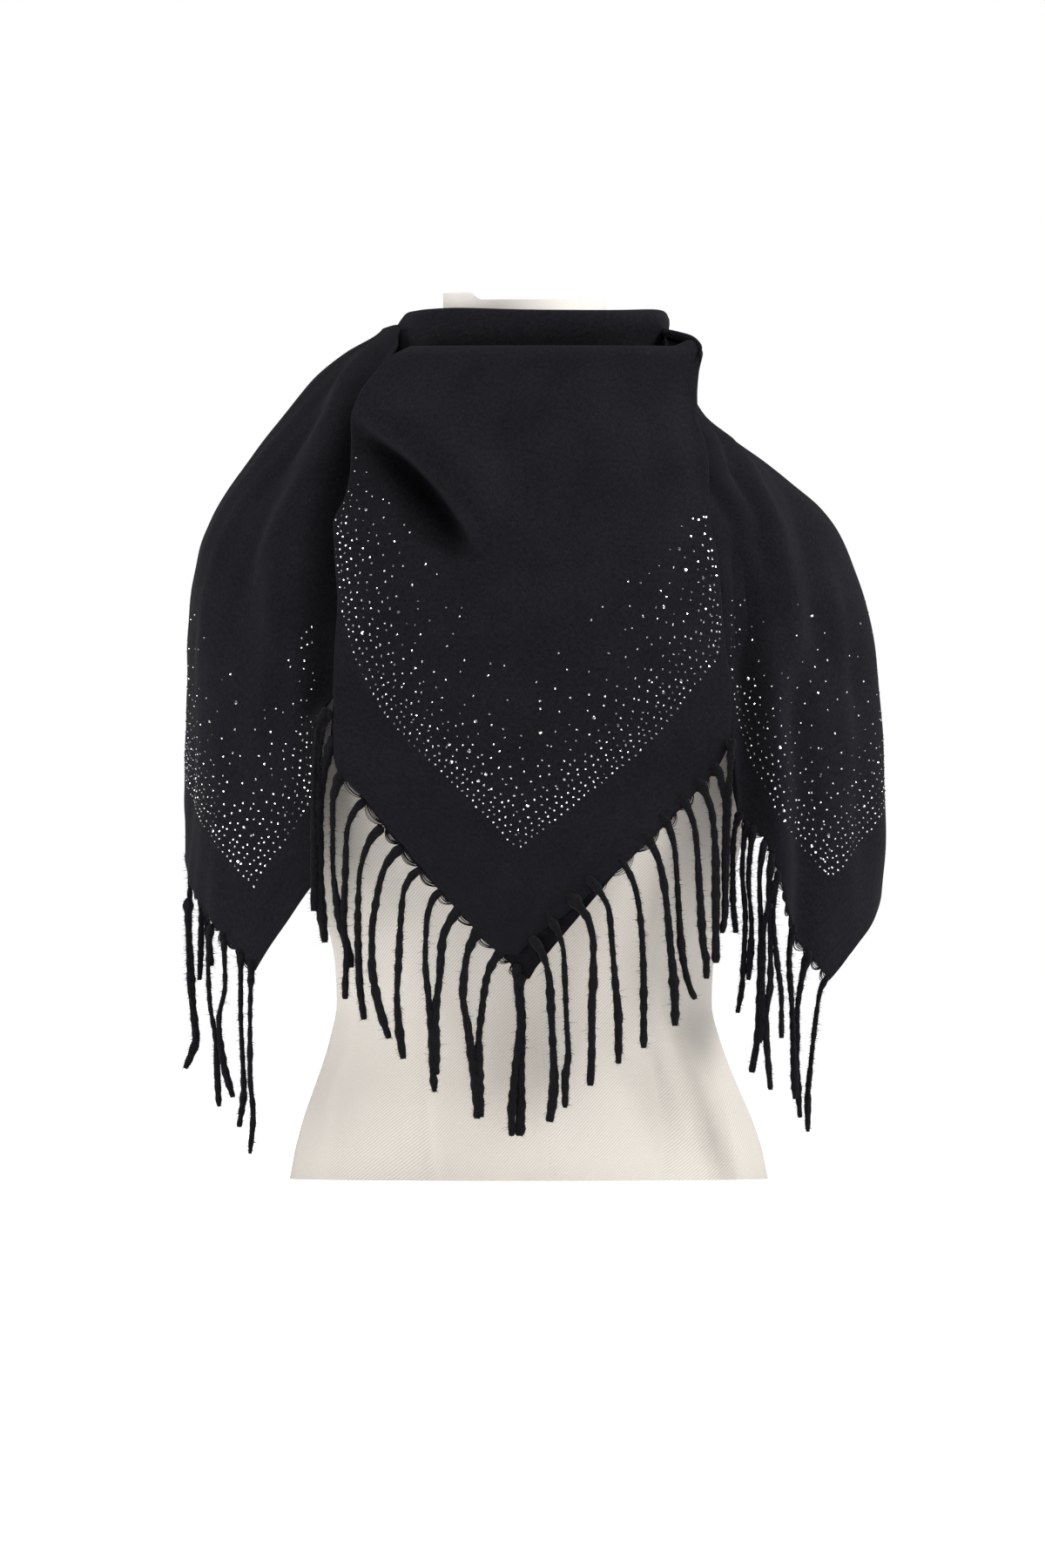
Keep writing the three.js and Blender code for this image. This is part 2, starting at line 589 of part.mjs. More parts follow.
// The cloth turned back behind the panel's sides, from the side's fold inwards.
const TURN_BACKS = [
  { left: 15.5, leftBack: 16, right: -13, rightBack: 9 },
  { left: 8, leftBack: 13, right: -6, rightBack: 11 },
  { left: 2.5, leftBack: 8, right: -1, rightBack: 8 },
];
const TURN_SHARE = 0.02;     // of the panel's width, for each step of a side that lies flat

function panelPoint(row, f) {
  const section = rowAt(PANEL_SECTIONS, row);
  const x = section.left + f * (section.right - section.left);
  const side = 2 * f - 1;
  const edge = side < 0 ? section.leftDepth : section.rightDepth;
  const depth = section.middle + (edge - section.middle) * Math.abs(side) ** PANEL_ROUND;
  const folded = row < COWL_ROW ? 0 : panelFold(x, section.z);
  return new THREE.Vector3(x, -(depth + folded), section.z);
}

// A row of the panel: its turned-back steps on the left, its face, and those on the right.
function panelRow({ row, leftTuck, rightTuck }) {
  const steps = TURN_BACKS.length;
  const flatSide = steps * TURN_SHARE;
  const points = [];
  TURN_BACKS.forEach(({ left, leftBack }, n) => {
    const flat = panelPoint(row, n * TURN_SHARE);
    const folded = panelPoint(row, 0).add(new THREE.Vector3(left, leftBack, 0));
    points.push(flat.lerp(folded, leftTuck));
  });
  for (let c = 0; c <= PANEL_COLUMNS; c += 1) {
    const even = c / PANEL_COLUMNS;
    const start = flatSide * (1 - leftTuck);
    const end = 1 - flatSide * (1 - rightTuck);
    points.push(panelPoint(row, start + even * (end - start)));
  }
  [...TURN_BACKS].reverse().forEach(({ right, rightBack }, n) => {
    const flat = panelPoint(row, 1 - (steps - 1 - n) * TURN_SHARE);
    const folded = panelPoint(row, 1).add(new THREE.Vector3(right, rightBack, 0));
    points.push(flat.lerp(folded, rightTuck));
  });
  return points;
}

// The back layer: the front layer's surface moved in, cut to its own outline.
const INNER_OUTLINE = [
  { z: 497, left: -92, right: 94 },
  { z: 470, left: -97, right: 101 },
  { z: 430, left: -104, right: 105 },
  { z: 395, left: -109, right: 110 },
  { z: 360, left: -106, right: 115 },
  { z: 330, left: -112, right: 121 },
  { z: 305, left: -121.5, right: 127 },
  { z: 285, left: -123, right: 129 },
  { z: 268, left: -121, right: 124.5 },
  { z: 245, left: -103.5, right: 103.5 },
  { z: 220, left: -84.5, right: 80 },
  { z: 195, left: -63, right: 57 },
  { z: 170, left: -40, right: 36 },
  { z: 150, left: -20, right: 19 },
  { z: 136, left: -6, right: 7.5 },
  { z: 129, left: -1, right: 3.5 },
];
const INNER_COLUMNS = 18;
const INNER_SLACK = 9;       // how far the back layer falls away behind the cowl
const SLACK_FROM = 345;
const SLACK_TO = 415;
const TIP_HALF = 26;         // the panel's tip is taken as at least this wide each way
const SIDE_LIMIT = 1.1;      // the surface is followed this far past the panel's sides

// The panel's depth at a place, without its small folds.
function panelDepthAt(x, z) {
  const front = PANEL_SECTIONS.filter(({ row }) => row > COWL_ROW);
  const section = rowAt(front.map(({ z: key, ...others }) => ({ key, ...others })), z);
  const wide = Math.max((section.right - section.left) / 2, TIP_HALF);
  const centre = (section.left + section.right) / 2;
  const side = Math.min(Math.max((x - centre) / wide, -SIDE_LIMIT), SIDE_LIMIT);
  const edge = side < 0 ? section.leftDepth : section.rightDepth;
  return section.middle + (edge - section.middle) * Math.abs(side) ** PANEL_ROUND;
}

function innerPanelGrid() {
  const grid = INNER_OUTLINE.map(({ z, left, right }) => (
    Array.from({ length: INNER_COLUMNS + 1 }, (_, c) => {
      const x = left + (c / INNER_COLUMNS) * (right - left);
      const slack = INNER_SLACK * smoothStep(SLACK_FROM, SLACK_TO, z);
      return new THREE.Vector3(x, slack - panelDepthAt(x, z), z);
    })
  ));
  return movedOut(grid, LAYER_STEP);
}

// ---------------------------------------------------------------- the fringe
// The reach of a row of tassels: a wall that hangs plumb from a cut edge.
const FRINGE_ROWS = 3;
const FRINGED_BELOW = 275;   // the panel's sides carry tassels under this height
const RIGHT_FORWARD = 2.8;   // tassels that swing out in front of their edge
const POINT_FORWARD = 1;

function fringeGrid(edge, forward = 0) {
  const grid = [];
  for (let r = 0; r <= FRINGE_ROWS; r += 1) {
    const drop = SEAM_GAP + CLOTH_WALL / 2 + (r / FRINGE_ROWS) * FRINGE_DROP;
    grid.push(edge.map(({ x, y, z }) => new THREE.Vector3(x, y - forward, z - drop)));
  }
  return grid;
}

// ---------------------------------------------------------------- the model
const cloth = finish(CHARCOAL, 0.92);
const leftGrid = drapeGrid(LEFT_DRAPE);
const rightGrid = drapeGrid(RIGHT_DRAPE);
const outerGrid = PANEL_SECTIONS.map(panelRow);
const innerGrid = innerPanelGrid();

// The edges that carry tassels, taken from the cloth's own points.
const leftEdge = leftGrid.at(-1).slice(INNER_ROLL.length + cornerColumn(LEFT_HEM), -DRAPE_STEPS);
const rightEdge = rightGrid.at(-1).slice(0, cornerColumn(RIGHT_HEM) + 1);
const fringed = ({ z }) => z < FRINGED_BELOW;
const frontLeftEdge = innerGrid.map((row) => row[0]).filter(fringed);
const frontRightEdge = outerGrid.slice(0, -1).map((row) => row.at(-1)).filter(fringed);

const group = new THREE.Group();
group.add(dressForm());
group.add(neckCap());
group.add(neckWrap());
group.add(wallFrom('left_drape', leftGrid, CLOTH_WALL, cloth));
group.add(wallFrom('right_drape', rightGrid, CLOTH_WALL, cloth));
group.add(wallFrom('front_panel_inner', innerGrid, CLOTH_WALL, cloth));
group.add(wallFrom('front_panel_outer', outerGrid, CLOTH_WALL, cloth));

const tassels = finish(FRINGE_BLACK, 0.95);
group.add(wallFrom('fringe_front_left', fringeGrid(frontLeftEdge), FRINGE_WALL, tassels));
group.add(wallFrom('fringe_front_right', fringeGrid(frontRightEdge, POINT_FORWARD), FRINGE_WALL, tassels));
group.add(wallFrom('fringe_left_drape', fringeGrid(leftEdge), FRINGE_WALL, tassels));
group.add(wallFrom('fringe_right_drape', fringeGrid(rightEdge, RIGHT_FORWARD), FRINGE_WALL, tassels));

export default group;
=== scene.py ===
import math
import random

import bmesh
import bpy
import numpy as np
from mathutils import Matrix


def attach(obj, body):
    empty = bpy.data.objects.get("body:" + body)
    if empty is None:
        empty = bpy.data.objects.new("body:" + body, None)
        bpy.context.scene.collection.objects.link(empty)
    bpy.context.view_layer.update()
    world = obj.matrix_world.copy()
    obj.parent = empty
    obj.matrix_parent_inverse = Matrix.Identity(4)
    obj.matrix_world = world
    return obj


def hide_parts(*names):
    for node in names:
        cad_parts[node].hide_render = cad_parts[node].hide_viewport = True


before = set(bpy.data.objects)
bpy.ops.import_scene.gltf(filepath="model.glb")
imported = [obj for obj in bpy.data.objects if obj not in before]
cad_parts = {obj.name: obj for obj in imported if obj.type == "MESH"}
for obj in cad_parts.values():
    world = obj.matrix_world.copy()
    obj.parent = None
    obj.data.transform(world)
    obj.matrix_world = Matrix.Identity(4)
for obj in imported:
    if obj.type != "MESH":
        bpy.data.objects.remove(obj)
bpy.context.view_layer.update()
MM = 0.001

# ------------------------------------------------------------------ the dress form
# A padded papier-mache torso with no limbs, covered in undyed twill linen. The linen is cut in
# eight long panels, and each seam between them is pressed into a fine groove. It is cut off
# flat at the bottom and stands there.

# height, half width, depth in front, depth behind, how far the section lies to the right (mm)
FORM_SECTIONS = [
    (0, 153.5, 116, 118, 3), (20, 149.5, 113, 117, 2.8), (38, 144, 109, 113, 2.2),
    (56, 137, 104, 107, 1.4), (74, 130, 98, 99, 0.9), (92, 124.3, 94, 91, 0.3),
    (112, 120.2, 92, 86, 0), (136, 121, 94, 86, 0), (170, 128, 101, 90, 0),
    (215, 139, 113, 96, 0), (265, 147, 123, 101, 0), (305, 150, 124, 104, 0),
    (345, 155, 115, 106, 0), (380, 168, 103, 103, 0), (402, 181, 92, 97, 0),
    (418, 187, 82, 89, 0), (429, 185.2, 75, 81, 0), (438, 174.6, 70, 75, 0),
    (448, 150, 66, 70, 0), (459, 118, 63, 66, 0), (470, 88, 60, 62, 0),
    (482, 68, 57, 58, 0), (500, 57, 55, 54, 0), (525, 53, 53, 51, 0), (549, 51.5, 52, 50, 0),
]
# height, how far round from the centre front the princess seams run (degrees)
PRINCESS_SEAM = [(0, 28), (20, 30), (66, 33.5), (103, 37), (165, 37.5), (300, 38), (440, 44), (549, 50)]
FORM_TURN = 5.3              # the form's centre front is turned this far to the right
SEAM_DEPTH = 0.7
SEAM_WIDTH = 0.02            # of a panel's width, on each side
PANEL_STEPS = [0, 0.025, 0.06] + [0.1 + 0.08 * n for n in range(11)] + [0.94, 0.975]


def through(table, at):
    """The columns of a table at any value of its first one: smooth between the rows."""
    rows = np.array(sorted(table), float)
    key, values = rows[:, 0], rows[:, 1:]
    step = np.diff(key)[:, None]
    slope = np.diff(values, axis=0) / step
    before, after = slope[:-1], slope[1:]
    same = before * after > 0
    middle = np.where(same, 2 * before * after / np.where(same, before + after, 1), 0)
    tangent = np.vstack([slope[:1], middle, slope[-1:]])
    at = np.clip(at, key[0], key[-1])
    i = np.clip(np.searchsorted(key, at, side="right") - 1, 0, len(key) - 2)
    span = step[i]
    f = (at - key[i])[..., None] / span
    a, b = values[i], values[i + 1]
    found = a * (2 * f**3 - 3 * f**2 + 1) + tangent[i] * span * (f**3 - 2 * f**2 + f)
    found += b * (3 * f**2 - 2 * f**3) + tangent[i + 1] * span * (f**3 - f**2)
    return np.moveaxis(found, -1, 0)


def arc_length(line):
    """How far along a line of points each of them is."""
    return np.concatenate([[0], np.cumsum(np.linalg.norm(np.diff(line, axis=0), axis=1))])


def sheet_from(name, points):
    """A sheet through rows of points (mm), with a UV map in metres along its middle lines."""
    rows, columns = points.shape[:2]
    bpy.ops.object.select_all(action="DESELECT")
    bpy.ops.mesh.primitive_grid_add(x_subdivisions=columns - 1, y_subdivisions=rows - 1, size=1)
    piece = bpy.context.object
    piece.name = piece.data.name = name
    piece.data.vertices.foreach_set("co", (points * MM).ravel())
    along = arc_length(points[rows // 2]) * MM
    down = arc_length(points[:, columns // 2]) * MM
    place = np.stack([np.tile(along, rows), np.repeat(down, columns)], axis=-1)
    corner = np.empty(len(piece.data.loops), int)
    piece.data.loops.foreach_get("vertex_index", corner)
    piece.data.uv_layers.active.data.foreach_set("uv", place[corner].ravel())
    piece.data.update()
    return piece


def make_active(piece):
    bpy.ops.object.select_all(action="DESELECT")
    piece.select_set(True)
    bpy.context.view_layer.objects.active = piece


def merge_points(piece, distance=0.00005):
    """Joins points closer than this (metres) and turns every face outwards."""
    make_active(piece)
    bpy.ops.object.mode_set(mode="EDIT")
    bpy.ops.mesh.select_all(action="SELECT")
    bpy.ops.mesh.remove_doubles(threshold=distance)
    bpy.ops.mesh.normals_make_consistent(inside=False)
    bpy.ops.object.mode_set(mode="OBJECT")


def smooth_shaded(piece, limit=50):
    make_active(piece)
    bpy.ops.object.shade_smooth_by_angle(angle=math.radians(limit))


def set_inputs(node, values):
    for name, value in values.items():
        node.inputs[name].default_value = value


def new_material(name, colour, roughness):
    material = bpy.data.materials.new(name)
    material.use_nodes = True
    shader = material.node_tree.nodes["Principled BSDF"]
    set_inputs(shader, {"Base Color": (*colour, 1), "Roughness": roughness})
    return material, material.node_tree, shader


def coordinates(tree, kind, rotation=(0, 0, 0), scale=(1, 1, 1)):
    """The UV or object coordinates, turned and scaled."""
    mapping = tree.nodes.new("ShaderNodeMapping")
    set_inputs(mapping, {"Rotation": rotation, "Scale": scale})
    tree.links.new(tree.nodes.new("ShaderNodeTexCoord").outputs[kind], mapping.inputs["Vector"])
    return mapping.outputs["Vector"]


def noise(tree, vector, scale, detail, rough=0.5):
    texture = tree.nodes.new("ShaderNodeTexNoise")
    set_inputs(texture, {"Scale": scale, "Detail": detail, "Roughness": rough})
    tree.links.new(vector, texture.inputs["Vector"])
    return texture.outputs["Fac"]


def ramp(tree, value, stops):
    node = tree.nodes.new("ShaderNodeValToRGB")
    elements = node.color_ramp.elements
    elements[0].position, elements[1].position = stops[0][0], stops[-1][0]
    elements[0].color, elements[1].color = (*stops[0][1], 1), (*stops[-1][1], 1)
    for place, colour in stops[1:-1]:
        elements.new(place).color = (*colour, 1)
    tree.links.new(value, node.inputs["Fac"])
    return node.outputs["Color"]


def painted(tree, shader, first, *others):
    """Gives the shader the first colour, multiplied by each of the others."""
    for other in others:
        node = tree.nodes.new("ShaderNodeMix")
        node.data_type = "RGBA"
        node.blend_type = "MULTIPLY"
        node.inputs["Factor"].default_value = 1.0
        tree.links.new(first, node.inputs["A"])
        tree.links.new(other, node.inputs["B"])
        first = node.outputs["Result"]
    tree.links.new(first, shader.inputs["Base Color"])


def bumped(tree, shader, height, strength, distance, before=None):
    node = tree.nodes.new("ShaderNodeBump")
    set_inputs(node, {"Strength": strength, "Distance": distance})
    tree.links.new(height, node.inputs["Height"])
    if before is not None:
        tree.links.new(before, node.inputs["Normal"])
    tree.links.new(node.outputs["Normal"], shader.inputs["Normal"])
    return node.outputs["Normal"]


TWILL_PITCH = 0.0017         # metres between two twill lines
TWILL_ANGLE = math.radians(52)
WAVE_PERIOD = 0.31416        # a wave texture's period at scale 1


def linen_material():
    material, tree, shader = new_material("twill_linen", (0.72, 0.68, 0.63), 0.85)
    coords = coordinates(tree, "UV")
    twill = tree.nodes.new("ShaderNodeTexWave")
    set_inputs(twill, {"Scale": WAVE_PERIOD / TWILL_PITCH, "Distortion": 0.6, "Detail": 1,
                       "Detail Scale": 2})
    tree.links.new(coordinates(tree, "UV", rotation=(0, 0, TWILL_ANGLE)), twill.inputs["Vector"])
    lines = ramp(tree, twill.outputs["Fac"],
                 [(0.15, (0.444, 0.413, 0.378)), (0.6, (0.559, 0.530, 0.492))])
    slubs = ramp(tree, noise(tree, coords, 700, 3), [(0.3, (0.93, 0.92, 0.91)), (0.7, (1, 1, 1))])
    clouds = ramp(tree, noise(tree, coords, 9, 3), [(0.3, (0.95, 0.94, 0.925)), (0.7, (1, 1, 1))])
    painted(tree, shader, lines, slubs, clouds)
    shader.inputs["Sheen Weight"].default_value = 0.1
    bumped(tree, shader, twill.outputs["Fac"], 0.25, 0.0002)
    return material


def form_ring(z, grow=0.0):
    """One level ring of the form, grown by so many mm, with its eight seams pressed in."""
    half, front, back, side = through(FORM_SECTIONS, z)
    princess = through(PRINCESS_SEAM, z)[0]
    seams = [0, princess, 90, 180 - princess, 180, 180 + princess, 270, 360 - princess, 360]
    ring = []
    for first, last in zip(seams, seams[1:]):
        for step in PANEL_STEPS:
            turn = math.radians(FORM_TURN + first + step * (last - first))
            out = grow - SEAM_DEPTH * math.exp(-(min(step, 1 - step) / SEAM_WIDTH) ** 2)
            depth = front if math.cos(turn) > 0 else back
            ring.append((side + (half + out) * math.sin(turn), -(depth + out) * math.cos(turn), z))
    ring.append(ring[0])
    return ring


def form_points():
    foot, top = FORM_SECTIONS[0][0], FORM_SECTIONS[-1][0]
    # rings of points, closer together over the shoulders
    levels = np.concatenate([np.linspace(foot, 400, 60), np.linspace(406, 484, 22),
                             np.linspace(490, top, 14)])
    underside = [form_ring(foot, grow) for grow in (-150, -60, -8)]
    neck_top = [form_ring(top, grow) for grow in (-1.2, -8, -30, -48)]
    points = np.array(underside + [form_ring(z) for z in levels] + neck_top)
    centre = points.mean(axis=1, keepdims=True)
    points[0], points[-1] = centre[0], centre[-1]
    return points


form = sheet_from("linen_form", form_points())
merge_points(form)
smooth_shaded(form, 40)
form.data.materials.append(linen_material())
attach(form, "root")
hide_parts("dress_form")

# ------------------------------------------------------------------ the neck's cap
# A cream cotton-covered wooden plug on top of the neck. Its rim stands up as a low lip on the
# left, where the cotton is gathered over it.
CAP_HALF, CAP_FRONT, CAP_BACK = 51.9, 52.4, 50.4
CAP_FOOT, CAP_TOP = 549.3, 562.8
CAP_RINGS = (5, 6, 20)       # how wide the rings of its top are, from the rim inwards
CAP_ROUNDING = 2.6
LIP_BEGINS, LIP_FULL = -27, -35      # along x
LIP_RISE, LIP_INSIDE = 4.5, 0.15     # in full, and the share of it at the lip's inner ring
LIP_INNER_RING = (38, 44)    # this ring is so far from the middle


def smooth_step(low, high, at):
    f = np.clip((at - low) / (high - low), 0, 1)
    return f * f * (3 - 2 * f)


def cap_material():
    material, tree, shader = new_material("cap_cotton", (0.82, 0.78, 0.71), 0.6)
    coords = coordinates(tree, "Object")
    painted(tree, shader, ramp(tree, noise(tree, coords, 35, 4),
                               [(0.3, (0.79, 0.745, 0.68)), (0.7, (0.84, 0.80, 0.74))]))
    bumped(tree, shader, noise(tree, coords, 1500, 2), 0.25, 0.0002)
    return material


bpy.ops.object.select_all(action="DESELECT")
bpy.ops.mesh.primitive_cylinder_add(vertices=96, radius=1, depth=(CAP_TOP - CAP_FOOT) * MM,
                                    location=(0, 0, 0))
cap = bpy.context.object
cap.name = cap.data.name = "cotton_cap"
bpy.ops.object.mode_set(mode="EDIT")
mesh = bmesh.from_edit_mesh(cap.data)
for vertex in mesh.verts:
    depth = CAP_FRONT if vertex.co.y < 0 else CAP_BACK
    vertex.co.x *= CAP_HALF * MM
    vertex.co.y *= depth * MM
    vertex.co.z += (CAP_FOOT + CAP_TOP) / 2 * MM
for face in mesh.faces:
    face.select = face.normal.z > 0.9
bmesh.update_edit_mesh(cap.data)
for width in CAP_RINGS:
    bpy.ops.mesh.inset(thickness=width * MM)
bpy.ops.mesh.select_all(action="DESELECT")
mesh = bmesh.from_edit_mesh(cap.data)
cap_top = CAP_TOP * MM - 1e-5
for vertex in mesh.verts:
    across = math.hypot(vertex.co.x, vertex.co.y) / MM
    if vertex.co.z > cap_top and across > LIP_INNER_RING[0]:
        lift = LIP_RISE * float(smooth_step(LIP_BEGINS, LIP_FULL, vertex.co.x / MM))
        vertex.co.z += MM * lift * (LIP_INSIDE if across < LIP_INNER_RING[1] else 1)


def on_rim(point):
    across = math.hypot(point.x / CAP_HALF, point.y / CAP_FRONT)
    return point.z > cap_top and abs(across - MM) < 4e-5


for edge in mesh.edges:
    edge.select = all(on_rim(vertex.co) for vertex in edge.verts)
bmesh.update_edit_mesh(cap.data)
bpy.ops.mesh.bevel(offset=CAP_ROUNDING * MM, segments=5, affect="EDGES")
bpy.ops.object.mode_set(mode="OBJECT")
smooth_shaded(cap, 50)
cap.data.materials.append(cap_material())
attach(cap, "root")
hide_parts("neck_cap")

# ------------------------------------------------------------------ the standing fold
# The scarf is one square of brushed black wool, folded on the diagonal. The folded edge goes
# once round the neck and stands up in two soft layers, its rim rolled and a little uneven.

# height, half width, depth in front, depth behind, how far it lies to the right (mm)
WRAP_SECTIONS = [
    (475.1, 82.5, 69, 66, 0), (497, 83.5, 74, 70, -1), (518, 86, 78, 74, -1),
    (530, 88, 79.5, 75, 0), (540, 86.6, 80, 75, 3), (550, 84, 79, 74, 6.8), (555, 81, 77, 72, 7.6),
]
# turn, height, half its reach (degrees): where the rim stands higher or lower
WRAP_WAVES = [(320, 1.6, 26), (70, 1.2, 24), (180, -5, 60)]
# turn, how far it stands out, half its reach: soft upright ridges and hollows in it
WRAP_FOLDS = [(300, 1.6, 9), (338, -1.2, 10), (22, 1.3, 12), (55, -1.4, 9), (120, 1.8, 10),
              (150, -1.6, 9), (205, 1.7, 12), (245, -1.5, 10)]
CLOTH_WALL = 1.5
WRAP_ROLL = 1.6              # half the thickness of its rolled rim
WRAP_ROWS, ROLL_ROWS, WRAP_COLUMNS = 25, 7, 180


def wool_material():
    """Brushed wool: near black, with a soft nap that catches light at a grazing angle."""
    material, tree, shader = new_material("brushed_wool", (0.005, 0.005, 0.006), 0.95)
    coords = coordinates(tree, "UV")
    nap = noise(tree, coordinates(tree, "UV", scale=(1, 0.35, 1)), 1300, 3, 0.65)
    pills = noise(tree, coords, 330, 3, 0.6)
    clouds = noise(tree, coords, 28, 3)
    painted(tree, shader,
            ramp(tree, nap, [(0.3, (0.0030, 0.0029, 0.0038)), (0.72, (0.0090, 0.0087, 0.0111))]),
            ramp(tree, pills, [(0.3, (0.72, 0.72, 0.73)), (0.7, (1.25, 1.25, 1.25))]),
            ramp(tree, clouds, [(0.3, (0.85, 0.85, 0.86)), (0.7, (1.12, 1.12, 1.12))]))
    set_inputs(shader, {"Specular IOR Level": 0.06, "Sheen Weight": 0.014, "Sheen Roughness": 0.42,
                        "Sheen Tint": (0.86, 0.87, 1.0, 1)})
    first = bumped(tree, shader, pills, 0.35, 0.0006)
    bumped(tree, shader, nap, 0.55, 0.0005, first)
    return material


wool = wool_material()


def round_the_neck(turns, waves):
    """What rows of (turn, height, reach) add up to at some turns."""
    return sum(height * np.exp(-(((turns - at + 180) % 360 - 180) / reach) ** 2)
               for at, height, reach in waves)


def wrap_points():
    foot, top = WRAP_SECTIONS[0][0], WRAP_SECTIONS[-1][0]
    turns = np.linspace(0, 360, WRAP_COLUMNS + 1)
    angle = np.radians(turns)
    folds, waves = round_the_neck(turns, WRAP_FOLDS), round_the_neck(turns, WRAP_WAVES)
    heights = np.linspace(foot, top - WRAP_ROLL, WRAP_ROWS + 1)
    roll = np.linspace(0, math.pi, ROLL_ROWS + 2)[1:-1]
    profile = [(z, WRAP_ROLL) for z in heights]
    profile += [(top - WRAP_ROLL + WRAP_ROLL * math.sin(a), WRAP_ROLL * math.cos(a)) for a in roll]
    profile += [(z, -WRAP_ROLL) for z in heights[::-1]]
    rows = []
    for z, out in profile:
        half, front, back, side = through(WRAP_SECTIONS, z)
        rise = (z - foot) / (top - foot)
        grow = out + rise**1.5 * folds
        depth = np.where(np.cos(angle) > 0, front, back)
        rows.append(np.stack([side + (half + grow) * np.sin(angle), -(depth + grow) * np.cos(angle),
                              z + rise * waves], axis=-1))
    return np.array(rows)


def thickened(piece):
    """The sheet as a wall of cloth, with the sheet as its middle."""
    make_active(piece)
    solid = piece.modifiers.new("wall", "SOLIDIFY")
    solid.thickness = CLOTH_WALL * MM
    solid.offset = 0
    bpy.ops.object.modifier_apply(modifier=solid.name)


def cloth_piece(name, points, node):
    """A sheet of cloth with its own thickness, standing for one CAD node."""
    piece = sheet_from(name, points)
    merge_points(piece)
    thickened(piece)
    smooth_shaded(piece, 60)
    piece.data.materials.append(wool)
    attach(piece, "root")
    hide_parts(node)
    return piece


neck_fold = cloth_piece("neck_fold", wrap_points(), "neck_wrap")

# ------------------------------------------------------------------ the two drapes
# Behind the neck the two ends of the square cross, come forward over the shoulders and hang
# with their corners down. Each one's inner edge is turned back in a soft roll, and the cut
# edge of the corner hangs free.

# height, half width, depth in front, depth behind, squareness of its corners, inner edge (mm)
LEFT_SECTIONS = [
    (550, 86, 72, 79, 2.1, 74), (542, 92, 76, 82, 2.1, 79), (529, 114, 81, 85, 2.1, 83.5),
    (515, 131.5, 87, 89, 2.15, 93), (502, 143, 92, 93, 2.2, 102), (482, 159, 98, 99, 2.25, 109),
    (462, 174.5, 103, 104, 2.3, 116), (442, 188.5, 107, 107, 2.4, 122),
    (422, 200, 111, 110, 2.5, 127), (400, 207.5, 114, 111, 2.6, 130),
    (370, 212, 117, 112, 2.6, 132), (340, 213.5, 119, 112, 2.6, 133),
    (260, 214.5, 121, 111, 2.6, 133), (180, 216, 121, 109, 2.6, 133),
    (130, 217, 120, 108, 2.6, 133),
]
RIGHT_SECTIONS = [
    (543, 92, 74, 85.5, 2.1, 66), (534, 101, 78, 88, 2.1, 70), (520, 105.5, 83, 92, 2.1, 76),
    (505, 107, 87, 96.5, 2.1, 84), (490, 114, 92, 101, 2.15, 94), (475, 131, 96, 105, 2.2, 108),
    (460, 152, 101, 108.5, 2.3, 111), (445, 171, 105, 111, 2.4, 113),
    (430, 189, 108, 113, 2.5, 114), (415, 200, 111, 114, 2.6, 115),
    (395, 209, 114, 114.5, 2.6, 116), (370, 217, 117, 114, 2.6, 119),
    (340, 222, 119, 114, 2.6, 122), (300, 225.5, 121, 113, 2.6, 130),
    (260, 228.5, 122, 112, 2.6, 137), (220, 229.5, 122, 111, 2.6, 140.5),
    (150, 227, 121, 109, 2.6, 141), (120, 226, 120, 108, 2.6, 141),
]
# turn from the centre front (degrees), height of the cut edge there (mm)
LEFT_HEM = [
    (33, 191), (40, 165), (48.5, 134), (56, 150), (65, 169), (77, 184), (90, 200), (106, 230),
    (121, 266), (136, 308), (151, 352), (166, 396), (180, 432), (187, 448),
]
RIGHT_HEM = [
    (32, 234), (36, 219), (40, 176), (46, 153), (54.5, 128), (62, 143), (72, 160), (82, 178),
    (92, 197), (106, 230), (121, 270), (136, 313), (151, 357), (166, 400), (180, 438),
    (200, 478), (220, 514), (236, 534),
]
LEFT_TOP = [(33, 543), (60, 544), (110, 545), (187, 541)]
RIGHT_TOP = [(32, 521), (46, 527), (62, 540), (90, 537), (180, 541), (236, 542)]
# Each fold: its line down the cloth as (height, turn), how far it stands out (mm), its reach
# towards the front and towards the back (degrees), and the heights it runs from and to.
LEFT_FOLDS = [
    ([(546, 68), (520, 57), (489, 49.5), (441, 44.5), (340, 41)], 6, 6.5, 5.5, 562, 318),
    ([(546, 80), (500, 64), (441, 57), (340, 54)], -5.5, 6, 11, 556, 290),
    ([(530, 50), (500, 43), (455, 38.5)], -3, 3.5, 3.5, 548, 430),
    ([(500, 104), (200, 96)], 3.5, 8, 6, 470, 175),
    ([(400, 84), (200, 80)], -2.2, 6, 7, 400, 175),
    ([(500, 128), (250, 118)], -5, 6, 8, 500, 210),
    ([(520, 150), (300, 136)], 6, 8, 6, 530, 270),
    ([(520, 168), (340, 157)], -4, 5, 7, 530, 330),
    ([(330, 62), (170, 60)], 1.8, 5, 7, 330, 120),
]
